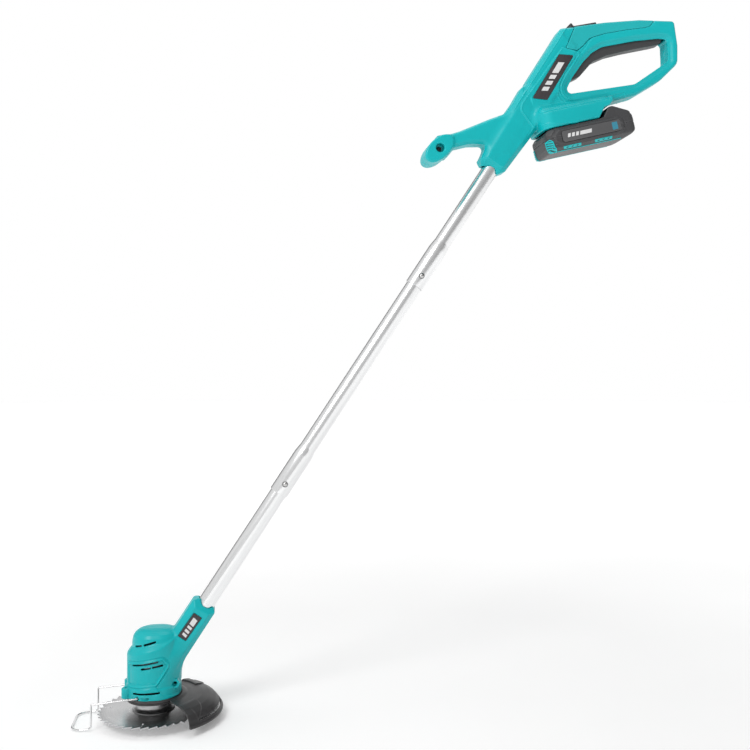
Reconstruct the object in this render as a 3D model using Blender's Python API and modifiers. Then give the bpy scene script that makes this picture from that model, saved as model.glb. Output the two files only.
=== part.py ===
"""Cordless lawn edger: D-handle housing with slide-on battery, three-piece
aluminium shaft with snap-button sockets, motor head with saw blade and guards.

Frame: metres, +Z up, +X towards the handle, +Y to the far side.  The origin is
the lower end face of the arbor bolt, on the spindle axis.
"""
import math

import bmesh
import bpy
from mathutils import Matrix, Vector

for stale in list(bpy.data.objects):
    bpy.data.objects.remove(stale, do_unlink=True)

MM = 0.001

# ---- driving dimensions (mm, degrees) -------------------------------------
GAP = 0.3                 # clearance between touching pieces
BLADE_R = 70.0            # 140 mm saw blade
BLADE_T = 1.4
BLADE_Z = 13.0            # mid-plane of the blade
TEETH = 40
TUBE_R = 11.25            # 22.5 mm shaft tube
TUBE_WALL = 1.2
SOCKET_R = 12.75          # swaged socket end of a tube
SHAFT_TILT = 33.49        # shaft axis from vertical, in the XZ plane
SHAFT_FOOT = (-21.6, 0.0, 13.0)
NECK_END = 161.0          # stations along the shaft axis from its foot
SOCKET2 = (329.0, 388.0, 400.0)   # rim, taper start, taper end
SOCKET1 = (659.0, 718.0, 730.0)
BUTTON2 = 344.0
BUTTON1 = 675.0
COLLAR = 848.0
LOWER_TUBE = (112.0, 384.0)
MIDDLE_TUBE_TOP = 714.0
UPPER_TUBE_TOP = 903.0
BATTERY_TILT = 14.0       # battery slide direction above +X
BATTERY_FOOT = (526.0, 0.0, 737.5)
HEAD_R = 33.5
RING_R = 35.0
GUARD_R = 87.5
GUARD_HALF = 56.0         # guard runs from -56 to +56 degrees about +X
WIRE_PIVOT = (-17.5, 36.5)
WIRE_Y = 30.6
TRIGGER_PIN = (691.0, 921.0)

TEAL = (0.0, 0.42, 0.42, 1.0)
DARK = (0.022, 0.022, 0.024, 1.0)
GREY = (0.06, 0.06, 0.065, 1.0)
ALU = (0.80, 0.81, 0.83, 1.0)
STEEL = (0.56, 0.57, 0.58, 1.0)
COPPER = (0.72, 0.35, 0.18, 1.0)
BOARD = (0.03, 0.18, 0.08, 1.0)
CELL = (0.10, 0.22, 0.55, 1.0)

PARTS = bpy.data.collections.new("lawn_edger")
CUTTERS = bpy.data.collections.new("cutters")
for coll in (PARTS, CUTTERS):
    bpy.context.scene.collection.children.link(coll)

SHAFT = Matrix.Translation(Vector(SHAFT_FOOT) * MM) @ Matrix.Rotation(math.radians(SHAFT_TILT), 4, "Y")
PACK = Matrix.Translation(Vector(BATTERY_FOOT) * MM) @ Matrix.Rotation(math.radians(-BATTERY_TILT), 4, "Y")
WORLD = Matrix.Identity(4)


# ---- helpers ---------------------------------------------------------------
def material(name, rgba, rough, metal):
    mat = bpy.data.materials.new(name)
    mat.use_nodes = True
    bsdf = mat.node_tree.nodes["Principled BSDF"]
    bsdf.inputs["Base Color"].default_value = rgba
    bsdf.inputs["Roughness"].default_value = rough
    bsdf.inputs["Metallic"].default_value = metal
    mat.diffuse_color = rgba
    return mat


def link(name, mesh):
    ob = bpy.data.objects.new(name, mesh)
    CUTTERS.objects.link(ob)
    ob.hide_render = True
    ob.display_type = "WIRE"
    return ob


def bake(ob):
    """Replace an object's mesh with its evaluated one."""
    deps = bpy.context.evaluated_depsgraph_get()
    mesh = bpy.data.meshes.new_from_object(ob.evaluated_get(deps))
    ob.modifiers.clear()
    old = ob.data
    ob.data = mesh
    bpy.data.meshes.remove(old)
    return ob


def tidy(ob, weld=0.002):
    bm = bmesh.new()
    bm.from_mesh(ob.data)
    bmesh.ops.remove_doubles(bm, verts=bm.verts, dist=weld * MM)
    bmesh.ops.recalc_face_normals(bm, faces=bm.faces)
    bm.to_mesh(ob.data)
    bm.free()
    return ob


def place(ob, frame):
    ob.data.transform(frame)
    ob.data.update()
    return ob


def bevelled(ob, width, segments=1, angle=35):
    mod = ob.modifiers.new("bevel", "BEVEL")
    mod.width = width * MM
    mod.segments = segments
    mod.limit_method = "ANGLE"
    mod.angle_limit = math.radians(angle)
    return bake(ob)


def box(name, lo, hi, frame=WORLD):
    bm = bmesh.new()
    bmesh.ops.create_cube(bm, size=1.0)
    mid = [(a + b) / 2 * MM for a, b in zip(lo, hi)]
    size = [(b - a) * MM for a, b in zip(lo, hi)]
    bm.transform(Matrix.Translation(mid) @ Matrix.Diagonal((*size, 1.0)))
    mesh = bpy.data.meshes.new(name)
    bm.to_mesh(mesh)
    bm.free()
    return place(link(name, mesh), frame)


def rod(name, p0, p1, r, frame=WORLD, n=32, r2=None):
    """Cylinder or cone from p0 to p1 (mm)."""
    a, b = Vector(p0) * MM, Vector(p1) * MM
    bm = bmesh.new()
    bmesh.ops.create_cone(bm, cap_ends=True, segments=n, radius1=r * MM,
                          radius2=(r if r2 is None else r2) * MM, depth=(b - a).length)
    turn = (b - a).to_track_quat("Z", "Y").to_matrix().to_4x4()
    bm.transform(Matrix.Translation((a + b) / 2) @ turn)
    mesh = bpy.data.meshes.new(name)
    bm.to_mesh(mesh)
    bm.free()
    return place(link(name, mesh), frame)


def corners(points):
    """Outline with rounded corners: each point is (x, z) or (x, z, radius)."""
    out = []
    n = len(points)
    for i, pt in enumerate(points):
        here = Vector(pt[:2])
        r = pt[2] if len(pt) > 2 else 0.0
        if r <= 0:
            out.append(tuple(here))
            continue
        a = (Vector(points[i - 1][:2]) - here)
        b = (Vector(points[(i + 1) % n][:2]) - here)
        la, lb = a.length, b.length
        a.normalize()
        b.normalize()
        half = a.angle(b) / 2
        if half > math.radians(88.5):
            out.append(tuple(here))
            continue
        cut = min(r / math.tan(half), 0.45 * la, 0.45 * lb)
        rad = cut * math.tan(half)
        centre = here + (a + b).normalized() * (rad / math.sin(half))
        s, e = here + a * cut - centre, here + b * cut - centre
        sweep = s.angle_signed(e)
        steps = max(1, int(abs(math.degrees(sweep)) / 28))
        for k in range(steps + 1):
            t = -sweep * k / steps
            c, d = math.cos(t), math.sin(t)
            out.append((centre.x + s.x * c - s.y * d, centre.y + s.x * d + s.y * c))
    return out


def prism(name, outline, y0, y1, frame=WORLD, bevel=0.0, segments=1):
    """Flat outline in the frame's X-Z plane, from y0 to y1 along its Y."""
    cu = bpy.data.curves.new(name, "CURVE")
    cu.dimensions = "2D"
    cu.fill_mode = "BOTH"
    cu.extrude = (y1 - y0) / 2 * MM
    sp = cu.splines.new("POLY")
    sp.points.add(len(outline) - 1)
    for p, (x, z) in zip(sp.points, outline):
        p.co = (x * MM, z * MM, 0.0, 1.0)
    sp.use_cyclic_u = True
    guide = link(name + "_outline", cu)
    deps = bpy.context.evaluated_depsgraph_get()
    mesh = bpy.data.meshes.new_from_object(guide.evaluated_get(deps))
    bpy.data.objects.remove(guide, do_unlink=True)
    mesh.transform(Matrix.Translation((0, (y0 + y1) / 2 * MM, 0)) @ Matrix.Rotation(math.pi / 2, 4, "X"))
    ob = tidy(link(name, mesh), 0.001)
    if bevel:
        bevelled(ob, bevel, segments)
    return place(ob, frame)


def turned(name, profile, frame=WORLD, n=48):
    """Closed profile of (r, z), outer side top to bottom, turned about Z."""
    bm = bmesh.new()
    verts = [bm.verts.new((r * MM, 0, z * MM)) for r, z in profile]
    closed = min(r for r, _ in profile) > 0
    for i in range(len(verts) - (0 if closed else 1)):
        bm.edges.new((verts[i], verts[(i + 1) % len(verts)]))
    mesh = bpy.data.meshes.new(name)
    bm.to_mesh(mesh)
    bm.free()
    ob = link(name, mesh)
    mod = ob.modifiers.new("turn", "SCREW")
    mod.angle = 2 * math.pi
    mod.steps = mod.render_steps = n
    mod.use_merge_vertices = True
    mod.merge_threshold = 0.00001
    bake(ob)
    return place(tidy(ob), frame)


def wire(name, points, r, frame=WORLD, res=2):
    cu = bpy.data.curves.new(name, "CURVE")
    cu.dimensions = "3D"
    cu.bevel_depth = r * MM
    cu.bevel_resolution = res
    cu.use_fill_caps = True
    sp = cu.splines.new("POLY")
    sp.points.add(len(points) - 1)
    for p, q in zip(sp.points, points):
        p.co = (q[0] * MM, q[1] * MM, q[2] * MM, 1.0)
    guide = link(name + "_path", cu)
    deps = bpy.context.evaluated_depsgraph_get()
    mesh = bpy.data.meshes.new_from_object(guide.evaluated_get(deps))
    bpy.data.objects.remove(guide, do_unlink=True)
    return place(tidy(link(name, mesh), 0.02), frame)


def boolean(ob, other, op="DIFFERENCE", keep=False):
    mod = ob.modifiers.new("cut", "BOOLEAN")
    mod.operation = op
    mod.solver = "EXACT"
    mod.object = other
    bake(ob)
    if not keep:
        bpy.data.objects.remove(other, do_unlink=True)
    return ob


def cut(ob, *others):
    for other in others:
        boolean(ob, other)
    return ob


def join(ob, *others):
    for other in others:
        boolean(ob, other, "UNION")
    return ob


def copy(ob, name):
    return link(name, ob.data.copy())


def half(ob, name, side):
    """The near (-1) or far (+1) half of a piece split at the Y = 0 plane."""
    out = copy(ob, name)
    lo = (-200, GAP / 2, -100) if side > 0 else (-200, -150, -100)
    hi = (900, 150, 1100) if side > 0 else (900, -GAP / 2, 1100)
    return boolean(out, box("split", lo, hi), "INTERSECT")


def publish(ob, mat, origin=None, smooth=30):
    """Move a finished piece to the parts collection, origin on its axis."""
    CUTTERS.objects.unlink(ob)
    PARTS.objects.link(ob)
    ob.hide_render = False
    ob.display_type = "TEXTURED"
    tidy(ob, 0.003)
    if origin is not None:
        o = Vector(origin) * MM
        ob.data.transform(Matrix.Translation(-o))
        ob.location = o
    ob.data.materials.clear()
    ob.data.materials.append(mat)
    ob.data.shade_smooth()
    ob.data.set_sharp_from_angle(angle=math.radians(smooth))
    return ob


M_TEAL = material("teal_plastic", TEAL, 0.42, 0.0)
M_DARK = material("black_plastic", DARK, 0.5, 0.0)
M_GREY = material("dark_grey_plastic", GREY, 0.45, 0.0)
M_ALU = material("satin_aluminium", ALU, 0.28, 1.0)
M_STEEL = material("bright_steel", STEEL, 0.25, 1.0)
M_COPPER = material("copper", COPPER, 0.35, 1.0)
M_BOARD = material("circuit_board", BOARD, 0.5, 0.0)
M_CELL = material("cell_sleeve", CELL, 0.4, 0.0)


# ---- shaft -----------------------------------------------------------------
def tube_profile(z0, z1, socket=None):
    ri = TUBE_R - TUBE_WALL
    si = SOCKET_R - TUBE_WALL
    if socket is None:
        return [(TUBE_R, z1), (TUBE_R, z0), (ri, z0), (ri, z1)]
    rim, taper0, taper1 = socket
    return [(TUBE_R, z1), (TUBE_R, taper1), (SOCKET_R, taper0), (SOCKET_R, rim),
            (si, rim), (si, taper0), (ri, taper1), (ri, z1)]


def button_hole(s):
    return rod("button_hole", (0, -8, s), (0, -20, s), 3.9, SHAFT, 18)


lower = turned("shaft_lower", tube_profile(*LOWER_TUBE), SHAFT, 24)
cut(lower, button_hole(BUTTON2))
middle = turned("shaft_middle", tube_profile(SOCKET2[0], MIDDLE_TUBE_TOP, SOCKET2), SHAFT, 24)
cut(middle, button_hole(BUTTON2), button_hole(BUTTON1))
upper = turned("shaft_upper", tube_profile(SOCKET1[0], UPPER_TUBE_TOP, SOCKET1), SHAFT, 24)
cut(upper, button_hole(BUTTON1))
SHAFT_ORIGIN2 = SHAFT @ (Vector((0, 0, SOCKET2[0])) * MM) / MM
SHAFT_ORIGIN1 = SHAFT @ (Vector((0, 0, SOCKET1[0])) * MM) / MM
publish(lower, M_ALU, SHAFT_ORIGIN2)
publish(middle, M_ALU, SHAFT_ORIGIN1)
publish(upper, M_ALU)

for label, s in (("lower", BUTTON2), ("upper", BUTTON1)):
    # domed button on a leaf spring bent inside the inner tube
    frame = SHAFT @ Matrix.Translation((0, 0, s * MM)) @ Matrix.Rotation(math.pi / 2, 4, "X")
    dome = [(0, 14.3), (1.6, 14.0), (2.7, 13.2), (3.4, 12.0), (3.5, 11.4), (3.5, 8.6), (4.4, 8.6), (4.4, 7.8), (0, 7.8)]
    button = turned("snap_button_" + label, dome, frame, 16)
    publish(button, M_STEEL, SHAFT @ (Vector((0, -7.8, s)) * MM) / MM)
    t = 0.6
    leaf = prism("button_spring_" + label, [
        (7.6, -3.0), (7.6, 6.0), (7.2, 9.0), (-7.4, 46.0), (-8.4, 49.0), (-9.2, 46.5), (-9.0, 30.0),
        (-9.0 + t, 30.0), (-9.2 + t + 0.15, 45.5), (-8.2, 46.0), (7.2 - t, 8.4), (7.6 - t, 6.0), (7.6 - t, -3.0)],
        -3.0, 3.0, SHAFT @ Matrix.Translation((0, 0, s * MM)) @ Matrix.Rotation(-math.pi / 2, 4, "Z"))
    publish(leaf, M_STEEL)

for label, z0, z1 in (("lower", 97.0, 300.0), ("middle", 396.0, 636.0), ("upper", 728.0, 935.0)):
    run = wire("cable_" + label, [(0, 0, z0), (1.2, 1.0, z0 + 40), (-1.2, 1.0, z1 - 40), (0, 0, z1)], 2.6, SHAFT)
    publish(run, M_DARK)


# ---- head ------------------------------------------------------------------
def neck_outline(inset):
    w0, w1 = -17.6 + inset, 15.6 - inset
    top = NECK_END
    return [(w0, top), (w0 + 1.0, 96), (w0, 70), (w1, 36), (w1, top)]


shell = turned("head_shell", [
    (0, 118.8), (10, 118.4), (18, 116.6), (24, 112.6), (27.2, 106.5), (27.4, 96.5), (31.6, 90.6), (HEAD_R, 85.6),
    (HEAD_R, 48.8), (RING_R, 46.0), (RING_R, 30.5), (0, 30.5)], n=36)
neck = prism("neck", neck_outline(0.0), -17.0, 17.0, SHAFT, 4.5)
join(shell, neck)
for y in (-1, 1):
    join(shell, rod("boss", (-33.0, y * 17.0, 31.0), (-33.0, y * 17.0, 43.0), 6.5, n=24))
cavity = turned("motor_bay", [
    (0, 111.0), (18, 108.5), (24.4, 101), (24.4, 95), (30.6, 84.0), (30.6, 56.0), (26.4, 52.0), (26.4, 47.5), (31.6, 47.0),
    (31.6, 29.0), (0, 29.0)], n=36)
cut(shell, cavity)
cut(shell, rod("tube_bore", (0, 0, LOWER_TUBE[0] - 1.0), (0, 0, 200), TUBE_R + GAP, SHAFT, 40))
cut(shell, rod("cable_bore", (0, 0, 60), (0, 0, 130), 7.5, SHAFT, 24))
for x0, x1, z0, z1 in ((-22, 8, 79.0, 82.2), (-13, -1.5, 73.0, 75.6), (1.5, 14.5, 74.0, 76.6),
                       (-20, -12.5, 100.0, 102.0), (-9, 5, 101.0, 103.6)):
    cut(shell, box("vent", (x0, -60, z0), (x1, 60, z1)))
cut(shell, box("wire_slot", (WIRE_PIVOT[0] - 3.2, -60, WIRE_PIVOT[1] - 3.0), (WIRE_PIVOT[0] + 2.0, -29.2, WIRE_PIVOT[1] + 3.0)),
    box("wire_slot", (WIRE_PIVOT[0] - 3.2, 29.2, WIRE_PIVOT[1] - 3.0), (WIRE_PIVOT[0] + 2.0, 60, WIRE_PIVOT[1] + 3.0)),
    rod("wire_pin_bore", (WIRE_PIVOT[0], -60, WIRE_PIVOT[1]), (WIRE_PIVOT[0], 60, WIRE_PIVOT[1]), 1.5, n=12))
# head screws: one through each end of the neck, heads on the far side
HEAD_SCREWS = ((SHAFT @ (Vector((-13.6, 0, 132)) * MM) / MM), Vector((-33.0, 0, 37.0)))
for spot in HEAD_SCREWS[:1]:
    cut(shell, rod("screw_bore", (spot.x, -12, spot.z), (spot.x, 30, spot.z), 1.7, n=12))
    cut(shell, rod("screw_sink", (spot.x, 10.0, spot.z), (spot.x, 30, spot.z), 3.2, n=12))
for y in (-1, 1):
    cut(shell, rod("mount_bore", (-33.0, y * 17.0, 20), (-33.0, y * 17.0, 39), 1.7, n=12))
# badge recess on both sides of the neck
for y0, y1 in ((-19.0, -16.4), (16.4, 19.0)):
    cut(shell, prism("badge_pocket", [(-9.6, 109.3), (-8.5, 145.0), (4.5, 144.7), (3.3, 109.0)], y0, y1, SHAFT))
publish(half(shell, "head_near", -1), M_TEAL)
publish(half(shell, "head_far", 1), M_TEAL)
bpy.data.objects.remove(shell, do_unlink=True)
for label, y0, y1 in (("near", -17.4, -16.7), ("far", 16.7, 17.4)):
    publish(prism("head_badge_" + label, [(-9.2, 109.7), (-8.1, 144.6), (4.1, 144.3), (2.9, 109.4)], y0, y1, SHAFT), M_DARK)
spot = HEAD_SCREWS[0]
publish(turned("head_screw", [(0, 22.5), (2.8, 22.5), (2.8, 20.2), (1.4, 20.2), (1.4, 0), (0, 0)],
               Matrix.Translation((spot.x * MM, -0.0100, spot.z * MM)) @ Matrix.Rotation(-math.pi / 2, 4, "X"), 14), M_STEEL)

# motor: can, end cap, rotor on the spindle
publish(turned("motor_can", [(26.0, 90.4), (26.0, 40.0), (6.5, 40.0), (6.5, 41.5), (24.4, 41.5), (24.4, 90.4)], n=32), M_STEEL)
publish(turned("motor_end_cap", [(22.5, 101.0), (23.6, 99.8), (23.6, 90.8), (5.0, 90.8), (5.0, 101.0)], n=28), M_DARK)
publish(turned("motor_rotor", [(0, 103.0), (4.0, 103.0), (4.0, 89.0), (9.0, 89.0), (9.0, 82.0), (20.5, 80.0), (20.5, 48.0),
                               (9.0, 46.0), (5.0, 45.0), (5.0, 14.4 + 13.0), (4.0, 27.2), (4.0, 6.6), (0, 6.6)], n=28), M_COPPER)
plate = turned("motor_mount_plate", [(31.2, 38.5), (31.2, 31.0), (6.0, 31.0), (6.0, 35.5), (9.0, 39.6), (24.0, 39.6), (24.0, 34.0), (29.0, 34.0), (29.0, 38.5)], n=32)
publish(plate, M_DARK)

# guard: turned hood sector with a hub disc that closes the head
hood = [(RING_R + 0.5, 33.5), (48, 33.2), (62, 32.0), (72, 29.5), (80, 25.5), (85.2, 19.5), (86.4, 12.6), (GUARD_R + 0.6, 12.4),
        (GUARD_R + 0.6, 9.6), (84.6, 9.6), (83.2, 18.2), (78.6, 23.4), (71.2, 27.2), (61.6, 29.6), (46, 30.4), (41, 28.0), (RING_R + 0.5, 27.4)]

guard = turned("guard", hood, n=45)
wedge = [(0.0, 0.0)] + [(220 * math.cos(math.radians(a)), 220 * math.sin(math.radians(a))) for a in
                        (GUARD_HALF, GUARD_HALF + 45, GUARD_HALF + 90, 180, -GUARD_HALF - 90, -GUARD_HALF - 45, -GUARD_HALF)]
keep_out = prism("guard_front", wedge, -60, 60)
place(keep_out, Matrix.Rotation(-math.pi / 2, 4, "X"))
cut(guard, keep_out)
disc = turned("guard_hub", [(RING_R - 0.6, 30.2), (RING_R - 0.6, 27.4), (25.0, 27.4), (25.0, 30.2)], n=36)
join(guard, disc)
join(guard, box("guard_web", (30.0, -16, 27.9), (40.0, 16, 30.0)))
publish(guard, M_DARK)

# wire guard: two arms, a hoop in front of the blade, pins in the head ring
px, pz = WIRE_PIVOT
near = [(px, -26.5, pz), (px, -WIRE_Y + 1.0, pz), (px - 1.0, -WIRE_Y, pz), (-45, -WIRE_Y, 34.4), (-71.5, -WIRE_Y, 32.3),
        (-74, -WIRE_Y, 30.4), (-73.9, -WIRE_Y, 20.0), (-73.6, -WIRE_Y, 6.0), (-75.6, -WIRE_Y, 3.2)]
bend = [(-99.0 + 15.6 * (1 - math.cos(a)) ** 1.0, -WIRE_Y + 15.6 * (1 - math.sin(a)), 1.7) for a in
        [math.radians(90 - k * 22.5) for k in range(5)]]
front = [(-83.0, -WIRE_Y, 1.9)] + [(-99.0 + 14.0 * (1 - math.sin(math.radians(t))), -WIRE_Y + 14.0 * (1 - math.cos(math.radians(t))), 1.7)
                                   for t in (18, 36, 54, 72, 90)]
path = near + front
path = path + [(x, -y, z) for x, y, z in reversed(path)]
publish(wire("wire_guard", path, 1.15), M_STEEL, (px, 0, pz))

# blade stack on the spindle
flange = turned("inner_flange", [(20.5, 27.0), (20.5, 19.5), (22.0, 17.0), (27.0, 14.2), (27.0, 13.0 + BLADE_T / 2 + 0.3 - 0.0),
                                 (4.2, 13.0 + BLADE_T / 2 + 0.3), (4.2, 26.9), (5.4, 27.0)], n=36)
publish(flange, M_STEEL)
pitch = 360.0 / TEETH
teeth = []
for k in range(TEETH):
    a0 = k * pitch
    for da, r in ((0.0, BLADE_R), (0.6, BLADE_R - 5.0), (3.4, BLADE_R - 4.4)):
        a = math.radians(a0 + da)
        teeth.append((r * math.cos(a), r * math.sin(a)))
blade = prism("saw_blade", teeth, -BLADE_T / 2, BLADE_T / 2)
place(blade, Matrix.Translation((0, 0, BLADE_Z * MM)) @ Matrix.Rotation(-math.pi / 2, 4, "X"))
cut(blade, rod("arbor_hole", (0, 0, 0), (0, 0, 30), 4.25, n=32))
for k in range(4):
    a = math.radians(171 + 90 * k)
    spoke = Matrix.Rotation(a, 4, "Z")
    cut(blade, box("slit", (56, -0.4, 0), (80, 0.4, 30), spoke), rod("slit_end", (55, 0, 0), (55, 0, 30), 1.3, spoke, 16))
publish(blade, M_STEEL, (0, 0, BLADE_Z))
publish(turned("outer_flange", [(15.0, 12.0), (15.0, 10.4), (13.2, 9.0), (4.3, 9.0), (4.3, 12.0)], n=28), M_STEEL)
publish(turned("arbor_bolt", [(0, 6.3), (4.4, 6.3), (4.4, 8.7), (8.0, 8.7), (8.0, 7.0), (6.6, 6.0), (6.6, 0.6), (6.0, 0.0), (0, 0.0)], n=18), M_STEEL)


# ---- handle housing --------------------------------------------------------
BODY = [(-20.5, COLLAR), (17.5, COLLAR), (22.4, 936), (23.8, 1003), (23.8, 1032), (6, 1066), (-25.4, 1069), (-24.6, 990)]
LOOP = [(547, 920.5, 3), (566, 923.5), (610, 932.0), (660, 938.6), (713, 940.4, 5), (718.5, 906), (718.5, 881, 8), (692, 855.5, 8),
        (656, 833.5, 8), (620, 822.5), (560, 806), (505, 800), (500, 846)]
HOLE = [(551.3, 829.4, 5), (563, 853), (579, 876, 12), (592, 889.5, 12), (606, 898.2, 10), (655, 909.6), (690, 914.8), (703.5, 914.5, 4),
        (705.0, 884, 4), (655, 849.2, 10)]
ARM = [(373, 765), (391, 768.6), (404, 773), (446, 791.5), (468, 800, 14), (480, 815, 10), (492, 836), (505, 800), (472, 745), (439.0, 734),
       (441.8, 757.5, 5), (417, 756), (397, 750.5, 8), (386, 738)]
# oval pommel: 48 x 27 mm, leaning 44 degrees
OVAL = [(374.5 + 24.0 * math.cos(t) * math.cos(math.radians(44)) - 13.5 * math.sin(t) * math.sin(math.radians(44)),
         747.0 + 24.0 * math.cos(t) * math.sin(math.radians(44)) + 13.5 * math.sin(t) * math.cos(math.radians(44)))
        for t in (2 * math.pi * k / 28 for k in range(28))]
SHOE = [(-3, 38.2, 2), (79.7, 38.2), (90, 50.4), (98, 52), (103, 56), (111.5, 68.4), (5, 68.4, 4), (-3, 60, 3)]
GRIP_BAY = [(560, 912), (612, 927.2), (662, 934), (684, 935.4), (704, 932), (704, 917.5), (690, 917.5), (655, 912.4), (606, 901.2), (592, 892.0),
            (579, 878.8), (566, 859.0), (556, 843), (548, 860)]
BODY_BAY = [(-17.6, 908), (18.6, 908), (20.6, 938), (20.9, 1024), (4, 1056), (-21.6, 1059), (-21.2, 992)]
COVER = [(565.6, 950), (565.6, 921.3), (552.4, 891.6), (568.0, 889.8), (577, 896.9, 3), (587, 908.3, 8), (609, 915.9, 8),
         (638, 922.5), (667.5, 927.8), (675.5, 930.4), (683, 939.4), (688, 950)]


def offset(points, d):
    """Outline shifted sideways by d along its mitred corners (mm)."""
    n = len(points)
    area = sum(points[i][0] * points[(i + 1) % n][1] - points[(i + 1) % n][0] * points[i][1] for i in range(n))
    turn = 1.0 if area > 0 else -1.0
    out = []
    for i in range(n):
        p, q, r = Vector(points[i - 1][:2]), Vector(points[i][:2]), Vector(points[(i + 1) % n][:2])
        u, v = (q - p).normalized(), (r - q).normalized()
        nu, nv = Vector((u.y, -u.x)) * turn, Vector((v.y, -v.x)) * turn
        m = (nu + nv)
        m = m / max(0.35, m.length_squared) * 2.0
        out.append((q.x + m.x * d, q.y + m.y * d))
    return out


def housing_form(inset=0.0, names=""):
    w = inset
    body = prism("body" + names, offset([p[:2] for p in BODY], -w), -17.0 + w, 17.0 - w, SHAFT, 6.5 - w)
    loop = prism("loop" + names, offset(corners(LOOP), -w), -15.5 + w, 15.5 - w, WORLD, 3.6 - 0.6 * w)
    return join(body, loop)


housing = housing_form()
join(housing, prism("arm", corners(ARM), -14.0, 14.0, WORLD, 5.0),
     prism("pommel", OVAL, -19.0, 19.0, WORLD, 2.0),
     prism("shoe", corners(SHOE), -34.0, 34.0, PACK, 5.0))
cut(housing, prism("loop_hole", corners(HOLE), -60, 60))

# grip cover: the skin of the grip's top, lifted off the housing halves
cover_zone = prism("cover_zone", corners(COVER), -30, 30)
skin = copy(housing, "grip_cover")
boolean(skin, cover_zone, "INTERSECT", keep=True)
core = housing_form(2.0, "_core")
boolean(skin, core, keep=True)
bpy.data.objects.remove(core, do_unlink=True)
bpy.data.objects.remove(cover_zone, do_unlink=True)
cut(housing, prism("cover_seat", offset(corners(COVER), GAP), -30, 30))
core = housing_form(2.0 + GAP, "_core")
zone = prism("core_zone", offset(corners(COVER), 1.6), -30, 30)
boolean(core, zone, "INTERSECT")
cut(core, prism("loop_hole", corners(HOLE), -60, 60))
join(housing, core)

# hollow interior with screw posts left standing
POSTS = (SHAFT @ (Vector((10.0, 0, 925)) * MM) / MM, SHAFT @ (Vector((-15.0, 0, 1030)) * MM) / MM, Vector((709.2, 0, 921.0)))
body_bay = prism("body_bay", BODY_BAY, -14.2, 14.2, SHAFT)
grip_bay = prism("grip_bay", GRIP_BAY, -11.6, 11.6)
for spot in POSTS:
    for bay in (body_bay, grip_bay):
        boolean(bay, rod("post", (spot.x, -20, spot.z), (spot.x, 20, spot.z), 4.2, n=24))
cut(housing, body_bay, grip_bay)
cut(housing, box("shoe_bay", (44, -30.5, 53.8), (96, 30.5, 65.0), PACK),
    prism("arm_bay", [(398, 767.5), (446, 786.5), (470, 796.5), (500, 792), (474, 752), (450, 741), (444.5, 745), (444.5, 760), (436, 762.5), (399, 754.5)], -10.8, 10.8))
cut(housing, rod("tube_seat", (0, 0, 800), (0, 0, UPPER_TUBE_TOP + 1.0), TUBE_R + GAP, SHAFT, 40),
    rod("cable_way", (0, 0, 890), (0, 0, 912), 8.0, SHAFT, 24))
# trigger mouth along the top of the loop
mouth = [(571, 850), (594, 874), (618, 885), (690, 902), (701.5, 908), (701.5, 927.5), (683, 927.5), (655, 916), (606, 906), (588, 900), (572, 888), (556, 864), (553, 846)]
cut(housing, prism("trigger_mouth", mouth, -9.6, 9.6))
# rails and mouth for the battery under the shoe
cut(housing, box("rail_neck", (6, -20.4, 36), (140, 20.4, 45.0), PACK),
    box("rail_head", (6, -26.4, 44.0), (140, 26.4, 51.4), PACK),
    box("terminal_bay", (4, -19.0, 50), (40, 19.0, 60.0), PACK))
# latch pocket under the shoe's rear
# badge recesses
for y0, y1 in ((-20, -16.4), (16.4, 20)):
    cut(housing, prism("badge_pocket", [(541.9, 882.7), (564.0, 882.7), (525.6, 818.8), (503.2, 819.9)], y0, y1))
# pommel screw bore and the other screw bores
cut(housing, rod("pommel_sink", (375.0, -22, 747.5), (375.0, -8.0, 747.5), 5.0, n=22),
    rod("pommel_bore", (375.0, -10, 747.5), (375.0, 14.0, 747.5), 2.0, n=12))
SCREWS = list(POSTS) + [Vector((684.0, 0, 861.0))]
for spot in SCREWS:
    cut(housing, rod("screw_bore", (spot.x, -11, spot.z), (spot.x, 25, spot.z), 1.9, n=12),
        rod("screw_sink", (spot.x, 10.5, spot.z), (spot.x, 25, spot.z), 3.6, n=12))
# slider slot through the top
SLIDE = Matrix.Translation((0.5780, 0, 0.9250)) @ Matrix.Rotation(math.radians(-11.0), 4, "Y")
slot = box("slider_slot", (-16.0, -3.4, -14.0), (12.0, 3.4, 10.0), SLIDE)
boolean(housing, slot, keep=True)
cut(skin, slot)
# seat under the slider plate
seat = box("slider_seat", (-22.0, -7.4, -0.2), (25.0, 7.4, 12.0), SLIDE)
boolean(housing, seat, keep=True)
cut(skin, seat)
publish(half(housing, "handle_near", -1), M_TEAL)
publish(half(housing, "handle_far", 1), M_TEAL)
bpy.data.objects.remove(housing, do_unlink=True)
publish(skin, M_TEAL)

for label, y0, y1 in (("near", -17.5, -16.7), ("far", 16.7, 17.5)):
    publish(prism("handle_badge_" + label, [(542.1, 882.4), (563.4, 882.4), (525.4, 819.1), (503.8, 820.2)], y0, y1), M_DARK)

# lock-off slider: plate, thumb hook and stem
plate = prism("lock_slider", [(-14.6, 0.1), (-15.2, 7.4), (-13.6, 8.2), (-12.0, 7.6), (-10.4, 2.6), (22.4, 3.8), (23.4, 3.0), (23.4, 0.1)], -7.0, 7.0, SLIDE)
join(plate, box("stem", (-9.0, -3.0, -8.0), (11.0, 3.0, 1.0), SLIDE))
publish(plate, M_DARK, (578.0, 0, 925.0))

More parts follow.
